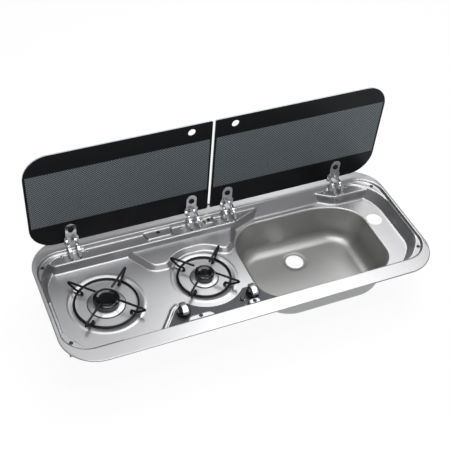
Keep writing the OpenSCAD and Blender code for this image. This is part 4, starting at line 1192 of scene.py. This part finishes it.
@dataclass
class Burner:
    """One burner: trim cone, ported head, enamelled cap, and its pan support."""

    side: Side
    x: float
    cap_r: float
    ring_r: float
    tray: Tray
    y: float = -10.0
    cap_top: float = -12.0
    ports: int = 24
    port_depth: float = 2.4
    port_w: float = 0.16
    # the pan support: radii of ring and fingers, how far they reach past the ring and in, and their level
    wire_r: float = 2.5
    finger_r: float = 2.6
    reach: float = 31.0
    inner: float = 28.0
    tip_z: float = -5.0
    foot_in: float = 10.0
    fingers: tuple = (45, 135, 225, 315)

    def head(self) -> Shape:
        """The head: a revolved crown whose radius dips at each port by a narrow bump in the turn.

        The bump is port_depth times exp(-((t - 1/2) / port_w)^2), where t runs from 0 to 1 at each port.

        Returns:
            The head.
        """
        crown, low, top = self.cap_r - 1.8, self.tray.dish + 5, self.cap_top - 5.0
        profile = rounded([[crown - 3, low - 9], [crown - 3, low], [crown, low + 1.5], [crown, top], [8, top]], 0.8)
        steps = self.ports * 10
        turn = np.arange(steps) * 2 * np.pi / steps
        port = np.exp(-((((turn * self.ports / (2 * np.pi)) % 1) - 0.5) / self.port_w) ** 2)
        high = smooth_step((profile[:, 1:] - top + 4.6) / 0.8) * (profile[:, :1] > crown - 1)
        radius = profile[:, :1] - self.port_depth * port * high
        rings = np.stack([self.x + radius * np.cos(turn), self.y + radius * np.sin(turn),
                          np.broadcast_to(profile[:, 1:], radius.shape)], -1)
        return ring_loft(rings)

    def support(self) -> Shape:
        """The wire ring and four fingers, each bent up from a foot, out over the ring and back to the burner.

        Returns:
            The support.
        """
        ring_z = self.tray.dish + 4.2
        over = ring_z + self.wire_r + self.finger_r - 0.5
        foot, out = self.ring_r - self.foot_in, self.ring_r + self.reach - 2
        path = rounded([[foot, 0, self.tray.dish + 3], [foot, 0, over], [self.ring_r + 4, 0, over],
                        [out, 0, self.tip_z], [self.inner, 0, self.tip_z]], 4.5, steps=8)
        finger = tube(path, self.finger_r, (0, 1, 0))
        loop = at_level(circle(self.x, self.y, self.ring_r, 144), ring_z)
        return joined(tube(loop, self.wire_r, (0, 0, 1), closed=True),
                      *[finger.turned("Z", degrees).moved(self.x, self.y) for degrees in self.fingers])

    def build(self) -> None:
        """Makes every piece of the burner that shows."""
        dish, r, low = self.tray.dish, self.cap_r, -5.0
        outer, foot = r * 1.4, self.ring_r - self.foot_in
        cone = rounded([[outer - 1.2, 0.0], [outer, 0.3], [outer, 1.6], [outer - 1.2, 2.4], [r + 1.5, 4.4],
                        [r - 1.5, 4.6]], 0.8)
        # A thin flat black ring just past the trim cone's foot: painted shadow where the cone meets the dish
        painted_shadow_ring = [[outer + 1.6, 0.12], [outer - 1.5, 0.12]]
        cap = rounded([[0, low + 1], [r - 7, low + 1], [r - 5, low], [r - 0.2, low], [r, low + 1.2], [r - 0.8, -1.8],
                       [r - 4.5, 0.0], [r - 8, -0.3], [r - 12.5, -2.2], [0, -2.6]], 1.2)
        boot = rounded([[0, 0], [4, 0], [4, 3.4], [3.0, 4.8], [2.05, 5.2]], 1.0)
        feet = [revolved(boot, self.x + foot * np.cos(a), self.y + foot * np.sin(a), dish, 24)
                for a in np.radians(self.fingers)]
        around_axis = self.x, self.y, dish, 96
        for name, shape, finish, node, slot, angle in (
                ("trim_cone", revolved(cone, *around_axis), SPUN, "burner_trim", "trim_steel", 40.0),
                ("trim_painted_shadow_ring", revolved(painted_shadow_ring, *around_axis), RUBBER_AND_PAINTED_SHADOW, "burner_trim", "trim_steel", 40.0),
                ("ported_head", self.head(), CAST, "burner_head", "burner_aluminium", 30.0),
                ("enamelled_cap", revolved(cap, self.x, self.y, self.cap_top, 96), ENAMEL, "burner_cap",
                 "cap_enamel", 40.0),
                ("wire_support", self.support(), WIRE_ENAMEL, "pan_support", "support_enamel", 40.0),
                ("boot_feet", joined(*feet), RUBBER_AND_PAINTED_SHADOW, "support_feet", "soft_black", 40.0)):
            build(name, shape, finish, Body.UNIT, node, slot, self.side, angle)


# ---------------------------------------------------------------- taps, button, caps and studs


@dataclass
class Tap:
    """One tap's knob: black body with a bright arched grip."""

    side: Side
    x: float
    y: float = -96.0
    base: float = -25.0
    radius: float = 15.5
    height: float = 13.0
    bore_r: float = 4.1
    grip_w: float = 14.0
    arch_r: float = 30.0
    rise: float = 7.0

    def grip(self) -> Shape:
        """The grip: a bar whose top follows a circle of radius arch_r, with its long edges rounded.

        Returns:
            The grip, about the knob's own middle.
        """
        section = np.array([[-1, 0], [-1, 0.8], [-0.93, 0.95], [-0.8, 1.0],
                            [0.8, 1.0], [0.93, 0.95], [1, 0.8], [1, 0]])
        y = (self.radius - 0.5) * np.sin(np.linspace(-1, 1, 41) * np.pi / 2)
        top = self.height + self.rise - self.arch_r + np.sqrt(self.arch_r**2 - y**2)
        low = self.height - 4.8
        size = (len(y), len(section))
        rings = np.stack([np.broadcast_to(section[:, 0] * self.grip_w / 2, size), np.broadcast_to(y[:, None], size),
                          low + section[:, 1] * (top[:, None] - low)], -1)
        return ring_loft(rings[::-1], capped=True)

    def build(self) -> None:
        """Makes the body and the grip."""
        r, h = self.radius, self.height
        body = Body(self.side.name_of("tap"))
        profile = rounded([[self.bore_r, 0], [r - 0.6, 0], [r, 0.8], [r, 3.0], [r - 1.2, 3.8], [r - 1.9, h - 1.8],
                           [r - 3.6, h], [0, h + 0.3]], 0.7)
        build("knob_body", revolved(profile, self.x, self.y, self.base), KNOB_ABS, body, "knob", "knob_black",
              self.side)
        build("knob_strap", self.grip().moved(self.x, self.y, self.base), GRIP_ABS, body, "knob_grip", "grip_silver",
              self.side)


@dataclass
class Button:
    """The igniter's button, with a neck that goes through the tray."""

    x: float = -27.0
    y: float = -103.0
    base: float = -26.8
    radius: float = 5.5
    neck_r: float = 3.0

    def build(self) -> None:
        """Makes the button."""
        r = self.radius
        cap = rounded([[self.neck_r, -4.0], [self.neck_r, 0], [r, 0], [r, 1.8], [r - 1.4, 2.6], [0, 2.4]], 0.6)
        build("igniter_cap", revolved(cap, self.x, self.y, self.base, 40), BUTTON_RED, Body.BUTTON,
              "igniter_button", "button_dark")


@dataclass
class Fixings:
    """The soft caps on the holding screws, and the bright stud heads beside the hinges."""

    tray: Tray
    xs: tuple = (-425.0, -142.0, -14.0, 425.0)
    ys: tuple = (113.0, 135.0, 136.0, 113.0)
    stud_y: float = 135.8
    stud_from_hinge: float = 30.0

    def build(self) -> None:
        """Makes the caps and the stud heads; the hinge left of the split has a stud on its left only."""
        cap = rounded([[4.4, 0], [4.4, 0.9], [3.4, 1.6], [0, 1.7]], 0.5)
        caps = [revolved(cap, x, s * y, self.tray.pad, 32) for x, y in zip(self.xs, self.ys) for s in SIDES]
        build("soft_screw_caps", joined(*caps), RUBBER_AND_PAINTED_SHADOW, Body.UNIT, "screw_caps", "soft_black")
        places = [h + s * self.stud_from_hinge for i, h in enumerate(self.tray.hinges()) for s in SIDES
                  if i != 1 or s < 0]
        head = rounded([[3.6, 0], [3.5, 0.7], [1.6, 1.2], [0, 1.2]], 0.6)
        shank = [[1.0, -1.0], [3.0, 0.0]]
        studs = [revolved(profile, x, self.stud_y, self.tray.ledge, steps)
                 for profile, steps in ((head, 28), (shank, 12)) for x in places]
        build("stud_heads", joined(*studs), CHROME, Body.UNIT, "hinge_studs", "stud_bright")


def both(*stems: str) -> list:
    """Names with each side."""
    return [side.name_of(stem) for stem in stems for side in Side]


CARRIED = {
    FOAM: ["rim_seal"],
    ZINC: ["fixing_screws", "fixing_clamps", *both("valve_stem")]
    + [f"hinge_{part}_{number}" for part in ("bracket", "pin") for number in (1, 2, 3, 4)],
    NYLON: both("lid_bushes"),
    LACQUER: ["control_panel"],
    BRASS: both("valve", "valve_plunger"),
    PIPE: ["gas_rail", *both("burner_pipe")],
    CAST: both("burner_cup"),
    COPPER: both("thermocouple"),
    CERAMIC: both("electrode"),
    RUBBER_AND_PAINTED_SHADOW: ["igniter_body"],
}


def dress_carried(nodes: dict) -> None:
    """Gives each CAD node that stays its own finish.

    Args:
        nodes: the frame's objects by the names of their nodes.
    """
    for finish, names in CARRIED.items():
        for name in names:
            mesh = nodes[name].data
            mesh.materials.clear()
            mesh.materials.append(finish.material())
            LOG.info("%s: carried over in %s", name, finish.name)


# ---------------------------------------------------------------- stage


def put(name: str, data: bpy.types.ID, right: Array, back: Array, place: Array) -> bpy.types.Object:
    """Links a camera or a lamp that looks against its back.

    Args:
        name: the object's name.
        data: the camera's or the lamp's data.
        right: the way to its right, of length one.
        back: the way behind it, of length one.
        place: its place in metres.

    Returns:
        The object.
    """
    matrix = np.eye(4)
    matrix[:3] = np.column_stack([right, np.cross(back, right), back, place])
    made = bpy.data.objects.new(name, data)
    made.matrix_world = Matrix(matrix.tolist())
    bpy.context.collection.objects.link(made)
    return made


@dataclass(frozen=True)
class Studio:
    """Camera, floor, world and soft lamps. The camera is the one fitted to the photograph."""

    # what the camera's middle line passes, its angles in degrees, and its distance
    target: tuple = (-74.10, -66.10, 3.0)
    azimuth: float = -26.63
    elevation: float = 47.77
    roll: float = 5.19
    distance: float = 1919.83
    # the camera's focal length, middle and frame in pixels
    focal_px: float = 860.18
    middle_px: tuple = (217.73, 283.30)
    frame_px: float = 450.0
    floor_z: float = -137.0
    floor_half: float = 12000.0
    glow_share: float = 0.93
    world_strength: float = 0.4
    # each lamp: name, place and size in metres, and power in watts
    lamps: tuple = (("key", (0.85, 0.62, 1.5), (1.2, 1.1), 13.0),
                    ("overhead", (0.0, 0.25, 1.75), (1.4, 1.1), 13.0),
                    ("strip", (-0.1, -0.6, 1.6), (1.8, 0.35), 11.0))

    def camera(self) -> None:
        """The photograph's camera, with its shift."""
        az, el, ro = np.radians([self.azimuth, self.elevation, self.roll])
        back = np.array([np.sin(az) * np.cos(el), -np.cos(az) * np.cos(el), np.sin(el)])
        level = np.array([np.cos(az), np.sin(az), 0.0])
        right = np.cos(ro) * level + np.sin(ro) * np.cross(back, level)
        data = bpy.data.cameras.new("camera")
        data.lens = self.focal_px * data.sensor_width / self.frame_px
        data.shift_x = (self.frame_px / 2 - self.middle_px[0]) / self.frame_px
        data.shift_y = (self.middle_px[1] - self.frame_px / 2) / self.frame_px
        place = (np.array(self.target) + back * self.distance) * MM
        bpy.context.scene.camera = put("camera", data, right, back, place)

    def lamp(self, name: str, place: tuple, size: tuple, power: float) -> None:
        """A rectangular soft lamp that looks at the middle of the unit.

        Args:
            name: the lamp's name.
            place: its place in metres.
            size: its width and height in metres.
            power: its power in watts.
        """
        data = bpy.data.lights.new(name, "AREA")
        data.shape, data.size, data.size_y, data.energy = "RECTANGLE", size[0], size[1], power
        back = unit_rows(np.array(place, float))
        right = unit_rows(np.cross([0.0, 0.0, 1.0], back + [0.0, 1e-4, 0.0]))
        put(name, data, right, back, place)

    def floor(self) -> None:
        """A pale floor under the bowl, white to the camera and in gloss except where the object shades it."""
        mesh = bpy.data.meshes.new("floor")
        corners = np.array([[-1, -1], [1, -1], [1, 1], [-1, 1]]) * self.floor_half
        mesh.from_pydata((at_level(corners, self.floor_z) * MM).tolist(), [], [(0, 1, 2, 3)])
        floor = bpy.data.objects.new("floor", mesh)
        bpy.context.collection.objects.link(floor)
        material = bpy.data.materials.new("pale_floor")
        material.use_nodes = True
        tree = material.node_tree
        tree.nodes.clear()
        rays = add(tree, "LightPath").outputs
        share = rays["Is Camera Ray"]
        for kind, term in (("MAXIMUM", rays["Is Glossy Ray"]), ("MAXIMUM", rays["Is Transmission Ray"]),
                           ("MULTIPLY", self.glow_share)):
            share = add(tree, "Math", {0: share, 1: term}, operation=kind).outputs[0]
        matt = add(tree, "BsdfDiffuse", {"Color": linear("#ffffff")}).outputs[0]
        glow = add(tree, "Emission", {"Color": (1, 1, 1, 1), "Strength": 1.0}).outputs[0]
        mixed = add(tree, "MixShader", {0: share, 1: matt, 2: glow}).outputs[0]
        add(tree, "OutputMaterial", {"Surface": mixed})
        mesh.materials.append(material)

    def world(self) -> None:
        """An even pale world."""
        world = bpy.data.worlds.new("studio")
        bpy.context.scene.world = world
        world.use_nodes = True
        tree = world.node_tree
        tree.nodes.clear()
        pale = add(tree, "Background", {"Color": (1, 1, 1, 1), "Strength": self.world_strength}).outputs[0]
        add(tree, "OutputWorld", {"Surface": pale})

    def build(self) -> None:
        """Sets up camera, world, floor and lamps."""
        self.camera()
        self.world()
        self.floor()
        for lamp in self.lamps:
            self.lamp(*lamp)
        bpy.context.scene.view_settings.view_transform = "Standard"


def main() -> None:
    """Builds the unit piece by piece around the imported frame."""
    logging.basicConfig(level=logging.INFO, format="%(name)s: %(message)s")
    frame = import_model()
    Studio().build()
    tray = Tray()
    tray.build()
    Bowl(tray).build()
    lids = {side: Lid(side, tray) for side in Side}
    for lid in lids.values():
        lid.build()
    for number, x in enumerate(tray.hinges(), 1):
        Hinge(number, x, lids[Side.LEFT if number < 3 else Side.RIGHT]).build()
    Burner(Side.LEFT, -316.0, 30.0, 71.0, tray).build()
    Burner(Side.RIGHT, -82.0, 23.0, 61.0, tray).build()
    Button().build()
    Tap(Side.LEFT, -166.0).build()
    Tap(Side.RIGHT, 1.0).build()
    Fixings(tray).build()
    dress_carried(frame["nodes"])


if __name__ == "__main__":
    main()
